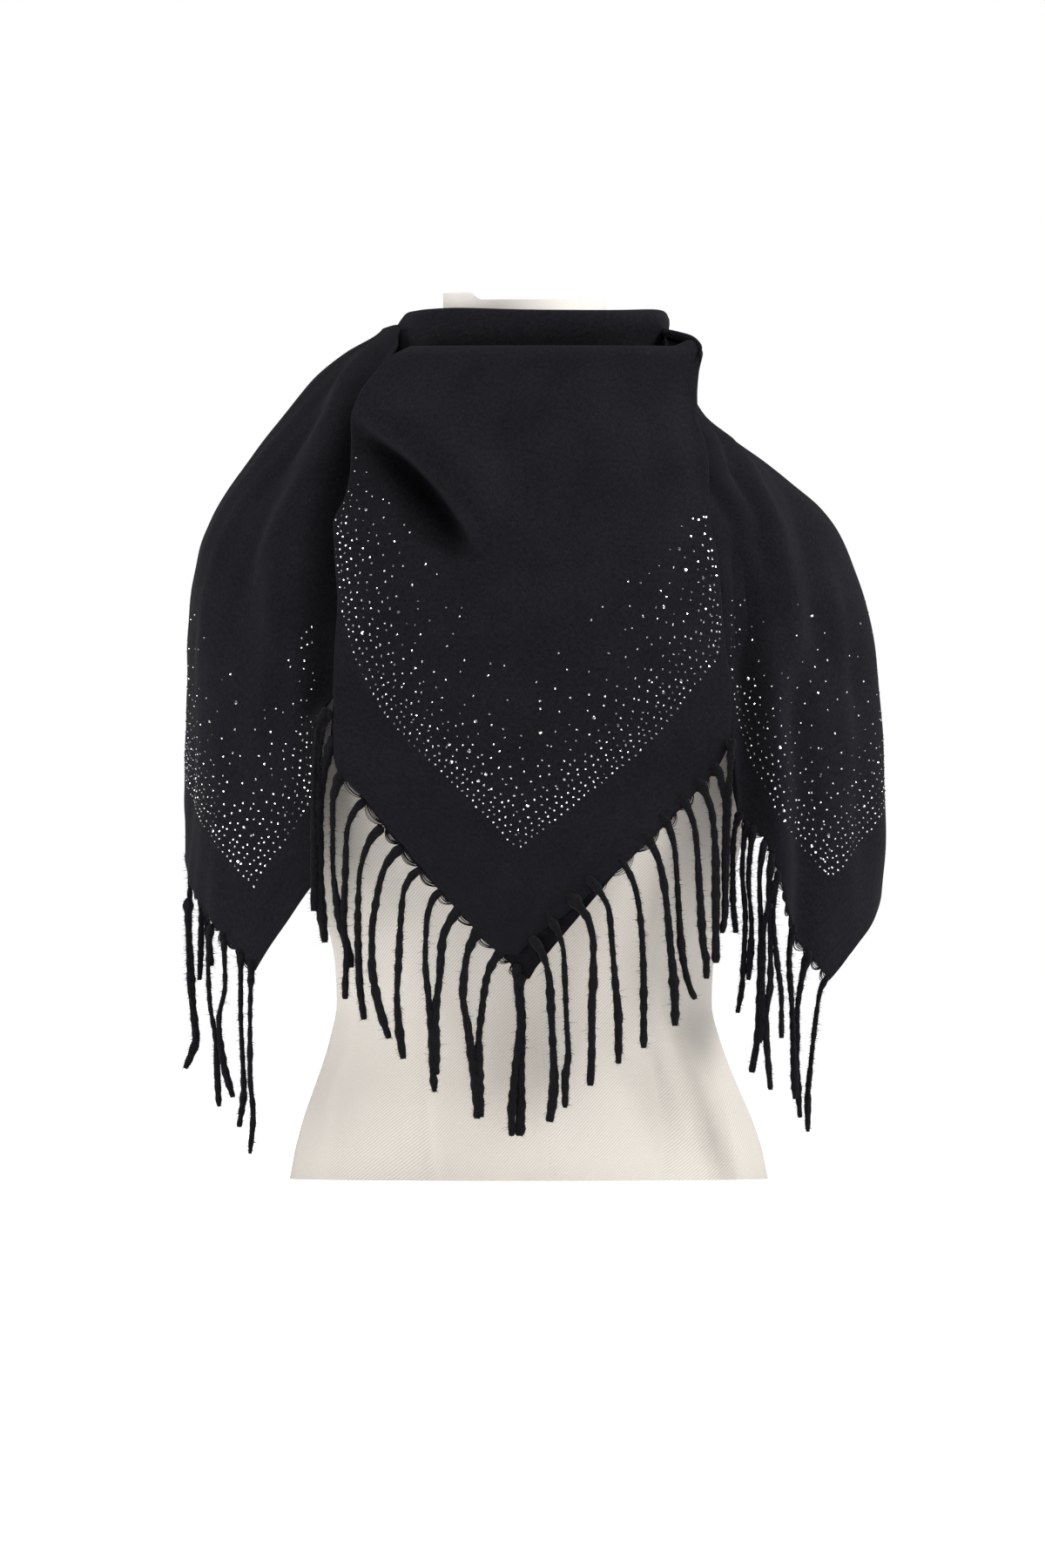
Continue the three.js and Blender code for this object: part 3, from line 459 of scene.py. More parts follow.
RIGHT_FOLDS = [
    ([(482, 73), (475, 63), (454, 47.5), (439, 42), (410, 36.5)], 5, 4, 4, 500, 390),
    ([(474, 72), (454, 54), (433, 47), (405, 42)], -4, 3, 3.2, 496, 370),
    ([(474, 79), (459, 63.5), (443, 54.5), (426, 48.5), (410, 47), (386, 45.5), (330, 44.5)],
     6, 4.6, 4.6, 500, 290),
    ([(455, 77), (420, 61), (370, 55)], -4, 5, 7, 480, 290),
    ([(480, 46), (420, 37), (300, 33), (180, 32)], -6, 3, 3.6, 500, 150),
    ([(340, 38), (140, 39)], 6, 3.4, 3.6, 385, 90),
    ([(340, 46), (140, 47)], -4.5, 3.5, 5, 375, 90),
    ([(420, 84), (160, 78)], 3.5, 8, 6, 400, 150),
    ([(430, 72), (200, 66)], -2.4, 5, 7, 430, 170),
    ([(500, 112), (220, 104)], -5, 6, 8, 480, 190),
    ([(520, 138), (260, 126)], 6, 8, 6, 520, 230),
    ([(530, 160), (320, 148)], -4.5, 5, 7, 530, 300),
]
FOLD_FADE = 0.25             # of a fold's length, at each of its ends
CROSSING_STEP = 5.4          # between the two drapes where they lie on each other
RIPPLES, RIPPLE_HEIGHT = 7, 0.16
LEFT = {"hand": -1, "sections": LEFT_SECTIONS, "hem": LEFT_HEM, "folds": LEFT_FOLDS, "top": LEFT_TOP}
RIGHT = {"hand": 1, "sections": RIGHT_SECTIONS, "hem": RIGHT_HEM, "folds": RIGHT_FOLDS,
         "top": RIGHT_TOP}
LEFT.update(under=RIGHT, crossing=-CROSSING_STEP)
RIGHT.update(under=LEFT, crossing=CROSSING_STEP)


def ripple(a, b, seed):
    """Slight unevenness of hanging cloth, in mm, from a few crossing waves."""
    draw = random.Random(seed)
    total = 0
    for _ in range(RIPPLES):
        length, heading = draw.uniform(22, 75), draw.uniform(0, math.pi)
        phase = draw.uniform(0, 2 * math.pi)
        wave = (a * math.cos(heading) + b * math.sin(heading)) / length * 2 * math.pi
        total = total + RIPPLE_HEIGHT * np.sin(wave + phase)
    return total


def fold_height(folds, turn, z):
    total = 0
    for line, height, front_reach, back_reach, start, end in folds:
        middle = through(line, z)[0]
        fall = (start - z) / (start - end)
        fade = smooth_step(0, FOLD_FADE, np.minimum(fall, 1 - fall))
        away = turn - middle
        reach = np.where(away < 0, front_reach, back_reach)
        total = total + height * fade * np.exp(-((away / reach) ** 2))
    return total


def shoulder_points(drape, turn, z, lift):
    half, front, back, square, _ = through(drape["sections"], z)
    power = 2 / square
    angle = np.radians(turn)
    out = lift + fold_height(drape["folds"], turn, z) + ripple(turn * 3.2, z, drape["hand"] + 5)
    deep = np.where(np.cos(angle) > 0, front, back)
    across = np.abs(np.sin(angle)) ** power
    along = np.sign(np.cos(angle)) * np.abs(np.cos(angle)) ** power
    return np.stack([drape["hand"] * (half + out) * across, -(deep + out) * along, z], axis=-1)


def drape_points(drape, hem_turn, z):
    """Points of a drape. Past the centre of the back it lies on the other one."""
    hem_turn, z = np.broadcast_arrays(np.asarray(hem_turn, float), np.asarray(z, float))
    half, _, back, square, inner_edge = through(drape["sections"], z)
    inner = drape["hem"][0][0]
    start = np.degrees(np.arcsin(np.minimum(inner_edge / half, 1) ** (square / 2)))
    opening = (start - inner) * (1 - (hem_turn - inner) / (180 - inner))
    own = shoulder_points(drape, hem_turn + opening, z, 0)
    other_back = through(drape["under"]["sections"], z)[2]
    fade = smooth_step(180, 186, hem_turn)
    lift = drape["crossing"] + (1 - fade) * (back - other_back - drape["crossing"])
    crossed = shoulder_points(drape["under"], 360 - hem_turn, z, lift)
    return np.where((hem_turn > 180)[..., None], crossed, own)


def hem_height(drape, turn):
    turns, heights = zip(*drape["hem"])
    return np.interp(turn, turns, heights)


def unit(vectors):
    return vectors / np.linalg.norm(vectors, axis=-1, keepdims=True)


def with_rolled_edge(points, amount, radius, back):
    """The sheet with its first column's edge rolled back behind it. In each row the amount, from
    none to one, says how much there is of the roll's radius and of the flat part behind it."""
    edge = points[:, 0]
    out = unit(edge - points[:, 2])
    inward = unit(np.cross(out, np.gradient(edge, axis=0)))
    towards = (-edge * [1, 1, 0] * inward).sum(axis=1)
    inward *= np.where(towards < 0, -1, 1)[:, None]
    size = (radius * amount)[:, None]
    extra = []
    for step in np.linspace(1, 0, ROLL_STEPS + 1)[:-1]:
        extra.append(edge - out * (size + back * amount[:, None] * step)
                     + inward * size * (2 + 0.8 * step))
    for angle in np.linspace(math.pi, 0, ROLL_STEPS + 1)[:-1]:
        extra.append(edge - out * size * (1 - math.sin(angle)) + inward * size * (1 - math.cos(angle)))
    face = points.copy()
    shift = 1 - np.arange(4) / 4
    face[:, :4] -= out[:, None, :] * size[:, None, :] * shift[None, :, None] ** 2
    return np.concatenate([np.stack(extra, axis=1), face], axis=1)


DRAPE_ROWS = 112
DRAPE_STEPS = 9              # columns from one place of the hem's table to the next
ROLL_STEPS = 8
LEAST_ROLL = 0.02            # an edge that lies flat still has this much of a roll
# The left cloth's inner side bends back and runs on behind the front panel, in one soft roll.
SOFT_ROLL_TURNS = 5.5        # degrees of it before its edge
SOFT_ROLL_IN, SOFT_ROLL_BACK = 17, 17
SOFT_ROLL_COLUMNS = 22
SOFT_ROLL_HEIGHTS = (290, 320, 472, 500)    # comes in over the first two, ends over the last
# The left cloth's top edge bends in towards the neck, most at this column.
CROWN_COLUMN, CROWN_REACH = 48, 26
CROWN_IN, CROWN_RISE = 9, 2.4
# The right cloth's inner edge is turned back above its fringe: radius of the roll, width of the
# flat part behind, and the heights over which it comes in
RIGHT_INNER_ROLL = (2.1, 26)
TURNED_HEIGHTS = (236, 248)


def between(heights, at):
    """Rises from 0 to 1 over the first two heights and falls back over the last two."""
    low, full, high, end = heights
    return smooth_step(low, full, at) * (1 - smooth_step(high, end, at))


def drape_surface(drape, first=0):
    places = [turn for turn, _ in drape["hem"]]
    turns = np.concatenate([np.linspace(a, b, DRAPE_STEPS, endpoint=False)
                            for a, b in zip(places, places[1:])] + [[places[-1]]])
    turns = turns[turns > places[0] + first - 0.01]
    if first:
        turns = np.concatenate([[places[0] + first], turns[turns > places[0] + first + 0.2]])
    fall = (np.linspace(0, 1, DRAPE_ROWS + 1) ** 1.1)[:, None]

    def at(turn):
        top = through(drape["top"], turn)[0]
        z = top + fall * (hem_height(drape, turn) - top)
        return drape_points(drape, turn[None, :], z)
    return at(turns), at


def with_crown(points):
    """The cloth with its top edge bent in towards the neck, most at one column."""
    columns = np.arange(points.shape[1])
    share = np.exp(-(((columns - CROWN_COLUMN) / CROWN_REACH) ** 2))[:, None]
    top = points[0]
    towards = -unit(top * [1, 1, 0])
    rows = []
    for step in np.linspace(1, 0, 8)[:-1]:
        angle = step * 1.9
        move = towards * CROWN_IN * (math.sin(angle) if angle < 1.57 else 1)
        lift = CROWN_RISE * math.sin(angle * 1.35) - (1.2 if step == 1 else 0)
        rows.append(top + (move + np.array([0, 0, lift])) * share)
    return np.concatenate([np.array(rows), points])


def with_soft_roll(drape):
    """The cloth with its inner side carried on behind the panel, where the roll is open."""
    cloth, at = drape_surface(drape, SOFT_ROLL_TURNS)
    inner = drape["hem"][0][0]
    t = np.linspace(1, 0, SOFT_ROLL_COLUMNS + 1)[:-1]
    flat = at(inner + SOFT_ROLL_TURNS * (1 - t))
    start, edge = cloth[:, 0], at(np.array([inner]))[:, 0]
    reach = np.linalg.norm((edge - start)[:, :2], axis=1)[:, None]
    out = np.concatenate([(edge - start)[:, :2] / reach, np.zeros((len(edge), 1))], axis=1)
    back = np.array([0, 1, 0])
    # a curve that leaves the cloth straight on and then bends back: how far out, and how far back
    u = 3 * (1 - t) ** 2 * t * 0.85 * reach + 3 * (1 - t) * t**2 * reach * 1.02
    u = u + t**3 * (reach + SOFT_ROLL_IN)
    w = 3 * (1 - t) * t**2 * 0.8 * SOFT_ROLL_BACK + t**3 * SOFT_ROLL_BACK
    rolled = start[:, None] + out[:, None] * u[..., None] + back * w[None, :, None]
    rolled[..., 2] = flat[..., 2]
    amount = between(SOFT_ROLL_HEIGHTS, edge[:, 2])[:, None, None]
    return np.concatenate([flat + (rolled - flat) * amount, cloth], axis=1)


def with_turned_edge(drape):
    points, _ = drape_surface(drape)
    amount = LEAST_ROLL + (1 - LEAST_ROLL) * smooth_step(*TURNED_HEIGHTS, points[:, 0, 2])
    return with_rolled_edge(points, amount, *RIGHT_INNER_ROLL)


left_drape = cloth_piece("left_shoulder_cloth", with_crown(with_soft_roll(LEFT)), "left_drape")
right_drape = cloth_piece("right_shoulder_cloth", with_turned_edge(RIGHT), "right_drape")

# ------------------------------------------------------------------ the front panel
# The middle of the folded square falls from a deep cowl below the chin to a point in front.
# It is two layers of the same wool, the back one a little longer, so that its fringed left
# edge and its cut right edge look out from under the front one.

# row, height, left side, right side, how far forward the middle, left side and right side
# are (mm), how much of the left and right side is turned back (none to all)
PANEL_SECTIONS = [
    (0, 508, -78, 82, 88, 66, 69, 0, 0), (1, 524, -76, 98, 91, 68, 60, 0, 0),
    (2, 532, -72, 106, 96, 71, 62, 0, 0), (3, 527.5, -82, 114, 102, 76, 63, 0.3, 0.5),
    (4, 515, -96, 111.8, 106.5, 79, 64, 0.7, 1), (5, 500, -106.5, 110.8, 110.5, 83, 67, 1, 1),
    (6, 485, -111, 111.5, 114.5, 90, 73, 1, 1), (7, 470, -110.5, 115.5, 118, 92, 79, 1, 0.6),
    (8, 455, -111, 117.5, 121.5, 96, 86, 1, 0.5), (9, 438, -114, 117.5, 125, 100, 92.5, 1, 0.45),
    (10, 418, -122, 119, 129.5, 105, 99.5, 1, 0.4), (11, 395, -121, 123.5, 134, 110, 105.5, 1, 0.4),
    (12, 368, -119, 125.5, 139, 115, 114, 0.6, 0.4), (13, 340, -120.5, 128, 143, 119, 118, 0.4, 0.4),
    (14, 310, -121.5, 131.5, 146, 122, 121, 0.4, 0.4), (15, 285, -121, 131, 147.5, 124, 124, 0.3, 0.3),
    (16, 266, -120, 124, 148, 127, 127, 0, 0), (17, 242, -99.5, 103, 147.5, 132, 132, 0, 0),
    (18, 215, -77, 77, 147, 138, 138, 0, 0), (19, 190, -56, 49, 146, 143, 143, 0, 0),
    (20, 168, -37, 22, 145, 144, 144, 0, 0), (21, 153, -24, 3, 144.5, 144.5, 144.5, 0, 0),
    (22, 144.5, -14, -5, 144, 144, 144, 0, 0),
]
PANEL_ROUND = 2.4            # how suddenly the panel turns back at its sides
COWL_ROW = 2.5               # the rows before this one lie behind the cowl's rim
HANGING = [section[1:] for section in PANEL_SECTIONS if section[0] > COWL_ROW]    # by height
COWL_CORNER = 4              # how much higher the rim's right end stands
LEFT_EDGE_ROLL, RIGHT_EDGE_ROLL = (2.4, 16), (2.4, 12)    # radius, width of the flat part behind
# One end (x, z), the other end, how far it stands out, its reach above and below the line
PANEL_FOLDS = [
    ((-30, 440), (10, 395), 2.5, 16, 18),
    ((100, 470), (60, 330), 2.5, 18, 22), ((-122, 414), (-103, 318), -2.2, 7, 5),
    ((60, 520), (84, 450), -2.5, 14, 16), ((104, 500), (112, 440), -3, 8, 6),
    ((-20, 360), (6, 250), 1.6, 26, 30), ((-86, 330), (-62, 262), -1.6, 18, 16),
    ((74, 300), (52, 232), -1.5, 18, 18), ((20, 500), (-10, 470), -1.6, 22, 22),
]
# The cowl's left end rolls over a deep crease: its two ends (x, z), how far the roll stands
# out over it and how deep the crease is, and how far the roll hangs down over it (mm).
# The crease is bowed upwards.
CREASE = ((-108, 487), (-31, 408))
CREASE_BOW = 10
CREASE_ROLL, CREASE_DEPTH, CREASE_HANG = 11, 25, 5
PANEL_ROWS, PANEL_COLUMNS = 176, 128


def from_line(start, end, x, z):
    """For places beside a straight line: how far along it, how far above it, its length, and
    the direction down across it."""
    dx, dz = end[0] - start[0], end[1] - start[1]
    length = math.hypot(dx, dz)
    along = ((x - start[0]) * dx + (z - start[1]) * dz) / length
    away = ((z - start[1]) * dx - (x - start[0]) * dz) / length
    return along, away, length, (dz / length, -dx / length)


def line_folds(x, z):
    """What the soft straight folds add up to at places of the front point."""
    total = 0
    for start, end, height, above, below in PANEL_FOLDS:
        along, away, length, _ = from_line(start, end, x, z)
        reach = np.where(away > 0, above, below)
        past = np.maximum(np.maximum(-along, along - length), 0) / (above + below)
        total = total + height * np.exp(-((away / reach) ** 2) - (past * 2) ** 2)
    return total


# Along this line (height, x) the front layer bends back towards its left side
SIDE_BEND = [(420, -124), (413, -121), (384, -117), (358, -112), (326, -102), (308, -95), (290, -84)]
SIDE_BEND_DEPTH = 11
SIDE_BEND_HEIGHTS = (297, 325, 398, 418)


def side_bend(x, z):
    past = np.maximum(through(SIDE_BEND, z)[0] - x, 0)
    depth = SIDE_BEND_DEPTH * between(SIDE_BEND_HEIGHTS, z)
    return -depth * (1 - np.exp(-past * 1.25 / SIDE_BEND_DEPTH))


def crease_at(x, z):
    """How far the big crease moves the cloth forward, and how far down across it."""
    along, away, length, down = from_line(*CREASE, x, z)
    away = away - CREASE_BOW * np.sin(np.clip(along / length, 0, 1) * math.pi) ** 0.8
    fade = 1 - smooth_step(length - 30, length + 18, along)
    # the roll is highest a little above the crease, and the crease is shallow at its upper end
    forward = CREASE_ROLL * np.exp(-(((away - 13) / np.where(away > 13, 20, 11)) ** 2))
    deep = CREASE_DEPTH * (0.3 + 0.7 * smooth_step(-102, -64, x))
    forward = forward - deep * np.exp(-(((away + 5) / np.where(away > -5, 6.5, 19)) ** 2))
    hang = CREASE_HANG * np.exp(-(((away - 5) / 7) ** 2))
    return forward * fade, hang * fade, down


def point_along(line, at):
    """The point or points so far along a line of points."""
    reach = arc_length(line)
    return np.stack([np.interp(at, reach, line[:, n]) for n in range(3)], axis=-1)


def smooth_path(points, count):
    """Points at even steps along a smooth curve through the given ones."""
    points = np.array(points, float)
    reach = arc_length(points)
    table = np.column_stack([reach, points]).tolist()
    curve = through(table, np.linspace(0, reach[-1], 160)).T
    return point_along(curve, np.linspace(0, arc_length(curve)[-1], count))


def joined(name, pieces):
    make_active(pieces[0])
    for piece in pieces:
        piece.select_set(True)
    bpy.ops.object.join()
    pieces[0].name = pieces[0].data.name = name
    return pieces[0]


def panel_points(row, f):
    row, f = np.broadcast_arrays(np.asarray(row, float), np.asarray(f, float))
    z, left, right, middle, left_depth, right_depth, _, _ = through(PANEL_SECTIONS, row)
    x = left + f * (right - left)
    side = 2 * f - 1
    edge = np.where(side < 0, left_depth, right_depth)
    depth = middle + (edge - middle) * np.abs(side) ** PANEL_ROUND
    z = z + COWL_CORNER * smooth_step(0.94, 1, f) * np.exp(-(((row - 2) / 0.7) ** 2))
    front = smooth_step(COWL_ROW - 0.5, COWL_ROW + 1, row)
    forward, hang, (down_x, down_z) = crease_at(x, z)
    depth = depth + front * (line_folds(x, z) + ripple(x, z, 11) + forward + side_bend(x, z))
    hang = hang * front * smooth_step(0, 0.1, f)
    return np.stack([x + hang * down_x, -depth, z + hang * down_z], axis=-1)


rows_at = np.linspace(0, 22, PANEL_ROWS + 1)
face = panel_points(rows_at[:, None], np.linspace(0, 1, PANEL_COLUMNS + 1)[None, :])
tucks = through(PANEL_SECTIONS, rows_at)[-2:]
left_amount, right_amount = LEAST_ROLL + (1 - LEAST_ROLL) * np.clip(tucks, 0, 1)
rolled = with_rolled_edge(face, left_amount, *LEFT_EDGE_ROLL)
rolled = with_rolled_edge(rolled[:, ::-1], right_amount, *RIGHT_EDGE_ROLL)[:, ::-1]
panel = cloth_piece("front_point_outer_layer", rolled, "front_panel_outer")

# The cowl's rim goes round at its right end and back towards the neck, a little higher.
COWL_END_RIM = [(83, -10, 544), (91, -28, 543), (99.5, -43, 541), (107, -55, 538.5),
                (111, -61.5, 535.2), (113, -65, 531.5), (112.5, -68, 527)]
# across it, over the rounded fold: to the side, towards the back, down (mm)
COWL_END_FOLD = [(0, -2, 4.2), (0, -2.3, 2), (0, -1.6, 0.4), (0, 0, -0.4), (0, 1.4, 0.5), (-1, 2, 4),
                 (-2.4, 2, 10), (-5, 2, 18), (-9, 2, 28)]
rim = smooth_path(COWL_END_RIM, 40)
cowl_end = sheet_from("cowl_end", np.array([rim + [x, y, -z] for x, y, z in COWL_END_FOLD]))
thickened(cowl_end)
smooth_shaded(cowl_end)
cowl_end.data.materials.append(wool)
panel = joined("front_point_outer_layer", [panel, cowl_end])

# height, left side, right side (mm) of the back layer
INNER_OUTLINE = [
    (497, -92, 94), (470, -97, 101), (430, -104, 105), (395, -109, 110), (360, -106, 115),
    (330, -112, 121), (305, -121.5, 127), (285, -123, 129), (268, -121, 124.5),
    (245, -103.5, 103.5), (220, -84.5, 80), (195, -63, 57), (170, -40, 36), (150, -20, 19),
    (136, -6, 7.5), (129, -1, 3.5),
]
INNER_SLACK = 12             # how far the back layer falls away behind the cowl
LAYER_STEP = 3.4
TIP_HALF = 26
INNER_ROWS, INNER_COLUMNS = 110, 84


def panel_depth_at(x, z):
    """The front layer's depth at a place, without its small folds."""
    left, right, middle, left_depth, right_depth, _, _ = through(HANGING, z)
    wide = np.maximum((right - left) / 2, TIP_HALF)
    side = np.clip((x - (left + right) / 2) / wide, -1.1, 1.1)
    edge = np.where(side < 0, left_depth, right_depth)
    return middle + (edge - middle) * np.abs(side) ** PANEL_ROUND


def inner_points():
    z = np.linspace(INNER_OUTLINE[0][0], INNER_OUTLINE[-1][0], INNER_ROWS + 1)
    outline = np.array(INNER_OUTLINE)[::-1]
    left, right = [np.interp(z, outline[:, 0], outline[:, n]) for n in (1, 2)]
    f = np.linspace(0, 1, INNER_COLUMNS + 1)
    x = left[:, None] + f * (right - left)[:, None]
    z = np.broadcast_to(z[:, None], x.shape)
    follow = line_folds(x, z) + ripple(x, z, 11) + crease_at(x, z)[0] + side_bend(x, z)
    slack = INNER_SLACK * smooth_step(345, 415, z) - np.minimum(follow, 2)
    return np.stack([x, LAYER_STEP + slack - panel_depth_at(x, z), z], axis=-1)


inner_layer = cloth_piece("front_point_back_layer", inner_points(), "front_panel_inner")

# ------------------------------------------------------------------ the fringe
# The warp ends left long at two sides of the square: every bunch is twisted softly into one
# fuzzy tassel, and between the bunches a few loose weft threads hang in small arches.

# Front tassels in their order along the edge, each as (x, z) points from its root (mm)
FRONT_LEFT_TASSELS = [
    [(-123, 300), (-128, 290), (-131, 264), (-131, 238), (-131, 214)],
    [(-126, 302), (-132, 285), (-134, 250), (-134, 205), (-134, 172)],
    [(-121, 284), (-127, 262), (-130, 225), (-130, 185), (-127, 152)],
    [(-116, 262), (-122, 240), (-122, 205), (-119, 175), (-116, 160), (-111, 144), (-110, 136)],
    [(-101, 243), (-108, 236), (-113, 222), (-114, 194), (-115, 166), (-113, 144), (-114, 124),
     (-114, 116)],
    [(-90, 226), (-97, 219), (-102, 208), (-105, 194), (-106, 166), (-105, 129), (-102, 103)],
    [(-77, 214), (-85, 206), (-90, 197), (-94, 180), (-97, 157), (-97, 139), (-94, 118), (-90, 103),
     (-86, 91)],
    [(-64, 200), (-72, 194), (-77, 183), (-79, 160), (-80, 139), (-81, 118), (-80, 101), (-77, 78)],
    [(-50, 187), (-58, 180), (-62, 166), (-63, 141), (-61, 118), (-59, 93), (-58, 69), (-57, 57)],
    [(-38, 176), (-45, 169), (-52, 154), (-54, 129), (-56, 113), (-57, 98), (-57, 68)],
    [(-26, 162), (-32, 155), (-37, 141), (-39, 118), (-36, 99), (-33, 77), (-30, 57), (-30, 40)],
    [(-13, 148), (-19, 141), (-24, 129), (-27, 108), (-29, 88), (-29, 72), (-28, 41)],
    [(-4, 139), (-5, 133), (-4, 118), (-3, 98), (-5, 77), (-7, 57), (-8, 41), (-8, 29)],
    [(-1, 132), (-3, 124), (-1, 103), (-2, 72), (-2, 52), (-3, 29)],
]
FRONT_RIGHT_TASSELS = [
    [(4, 156), (10, 148), (14, 138), (16, 128), (17, 111), (18, 91), (19, 66), (18, 51), (16, 38)],
    [(15, 169), (21, 160), (25, 146), (26, 126), (27, 101), (28, 81), (26, 64), (26, 47)],
    [(28, 183), (35, 175), (41, 166), (44, 150), (44, 130), (43, 111), (43, 86), (42, 61)],
    [(40, 194), (47, 186), (54, 172), (56, 150), (58, 126), (60, 101), (60, 75)],
    [(56, 209), (64, 201), (70, 189), (73, 175), (75, 155), (76, 126), (76, 101), (76, 85)],
    [(72, 225), (80, 216), (86, 203), (90, 182), (93, 150), (95, 130), (96, 111), (96, 99)],
    [(84, 236), (91, 228), (96, 210), (98, 180), (100, 150), (103, 132), (106, 122), (109, 116)],
    [(96, 248), (103, 240), (109, 222), (112, 180), (114, 150), (116, 140), (116, 129)],
    [(108, 258), (114, 250), (120, 232), (122, 200), (122, 160), (122, 139)],
    [(120, 267), (125, 257), (128, 235), (128, 205), (128, 172), (126, 158)],
    [(132, 282), (131, 262), (130, 240), (129, 212), (128, 187)],
]
# The tassels of the two drapes that hang in front
LEFT_TAIL_TASSELS = [
    [(-215, 180), (-215, 155), (-214, 128), (-211, 102), (-210, 90), (-213, 80), (-217, 71)],
    [(-200, 164), (-202, 140), (-201, 115), (-197, 88), (-196, 65), (-195, 47)],
    [(-192, 158), (-191, 125), (-195, 102), (-192, 75), (-186, 53)],
    [(-181, 147), (-181, 108), (-180, 82), (-179, 58), (-182, 34)],
    [(-174, 141), (-175, 102), (-175, 68), (-173, 42), (-175, 17)],
]
RIGHT_TAIL_TASSELS = [
    [(138, 236), (134, 222), (133, 208), (133, 182), (135, 158)],
    [(142, 230), (140, 215), (139, 198), (141, 168), (140, 142), (139, 125), (136, 107)],
    [(146, 227), (143, 192), (145, 162), (143, 128)],
    [(153, 217), (150, 192), (151, 155), (150, 125), (149, 95), (145, 69)],
    [(158, 209), (156, 185), (157, 155), (157, 128), (154, 102), (157, 58)],
    [(162, 198), (159, 168), (161, 142), (164, 115), (164, 91)],
    [(160, 192), (153, 160), (152, 128), (152, 100), (150, 88)],
    [(172, 164), (169, 142), (171, 108), (172, 75), (173, 52)],
    [(182, 147), (177, 128), (174, 102), (174, 75), (176, 40)],
    [(194, 131), (189, 121), (186, 102), (183, 75), (181, 52), (181, 31)],
]
TASSEL_PITCH = 18            # along a cut edge
TASSEL_LENGTH = 101
TASSEL_SIDES = 8
TASSEL_RINGS = 80
# how far down a tassel (of its length), its radius there (mm)
TASSEL_SHAPE = [(0, 1.2), (0.012, 2.8), (0.04, 3.4), (0.1, 2.6), (0.2, 2.0), (0.38, 2.1), (0.58, 2.35),
                (0.8, 2.75), (0.93, 2.6), (0.985, 2.3), (1, 1.7)]
# how many lumps a tassel has along it, and how much they change its radius
TASSEL_LUMPS = ((7, 0.18), (19, 0.12), (52, 0.09))
STRAND_HEIGHT = 0.09         # of the radius, over the two twisted strands
TASSEL_FLATNESS = 0.86
HAIRS_PER_TASSEL = 1300
HAIR_HALF_WIDTH = 0.17
THREAD_RADIUS = 0.28
THREAD_SIDES = 3
ARCH_THREADS = 8
ARCH_POINTS = 9
NARROWEST_GAP, WIDEST_GAP = 6, 40    # between two front tassels with loose threads between them
ROOT_FORWARD = 1.2           # how far a front tassel's root stands out from the cut edge
STANDS_OFF = 11              # how far the other tassels reach from the edge before they drop


def frame_along(path, beside):
    """Two directions square to a path and to each other, at each of its points."""
    ahead = unit(np.gradient(path, axis=0))
    side = unit(np.cross(ahead, beside))
    return side, np.cross(side, ahead)


def tassel_rings(path, draw, thick):
    """The tassel's surface: rings of points along its path, lumpy and twisted."""
    side, front = frame_along(path, [0, 1, 0.02])
    place = np.linspace(0, 1, len(path))
    radius = through(TASSEL_SHAPE, place)[0] * thick * draw.uniform(0.84, 1.12)
    for count, height in TASSEL_LUMPS:
        lumps = [draw.uniform(-1, 1) for _ in range(count)]
        radius = radius * (1 + height * np.interp(place, np.linspace(0, 1, count), lumps))
    around_it = np.linspace(0, 2 * math.pi, TASSEL_SIDES + 1)
    twist = place[:, None] * draw.uniform(34, 46) + draw.uniform(0, 6)
    strands = 1 + STRAND_HEIGHT * np.cos(2 * (around_it[None, :] - twist))
    size = radius[:, None] * strands
    rings = path[:, None] + side[:, None] * (size * np.cos(around_it))[..., None]
    rings = rings + front[:, None] * (size * TASSEL_FLATNESS * np.sin(around_it))[..., None]
    first, last = path[:1, None] + 0 * rings[:1], path[-1:, None] + 0 * rings[:1]
    return np.concatenate([first, rings, last]), radius


def thread_rings(path):
    side, front = frame_along(path, [0.1, 1, 0.2])
    turn = np.linspace(0, 2 * math.pi, THREAD_SIDES + 1)
    ring = side[:, None] * np.cos(turn)[:, None] + front[:, None] * np.sin(turn)[:, None]
    return path[:, None] + ring * THREAD_RADIUS


def hair_points(path, radius, draw):
    """Short fibres that stand off a tassel: three points for each."""
    pick = np.random.default_rng(draw.randrange(10**6))
    count = HAIRS_PER_TASSEL
    place = pick.uniform(0, len(path) - 1.001, count)
    i = place.astype(int)
    f = (place - i)[:, None]
    middle = path[i] * (1 - f) + path[i + 1] * f
    size = (radius[i] * (1 - f[:, 0]) + radius[i + 1] * f[:, 0])[:, None]
    turn = pick.uniform(0, 2 * math.pi, count)
    out = np.stack([np.cos(turn), np.sin(turn), np.zeros(count)], axis=-1)
    root = middle + out * size * 0.8
    length = pick.gamma(2.2, 0.5, count)[:, None] + 0.4
    lean = pick.normal(0, 0.6, (count, 3)) - [0, 0, 0.5]
    tip = root + (out + lean * 0.6) * length
    across = np.cross(out, pick.normal(0, 1, (count, 3)))
    across /= np.linalg.norm(across, axis=1, keepdims=True) + 1e-6
    across *= HAIR_HALF_WIDTH
    return np.stack([root - across, root + across, tip], axis=1)


def hair_piece(name, hairs):
    points = np.concatenate(hairs).reshape(-1, 3)
    mesh = bpy.data.meshes.new(name)
    faces = np.arange(len(points)).reshape(-1, 3)
    mesh.from_pydata((points * MM).tolist(), [], faces.tolist())
    mesh.uv_layers.new(name="UVMap")
    piece = bpy.data.objects.new(name, mesh)
    bpy.context.scene.collection.objects.link(piece)
    return piece


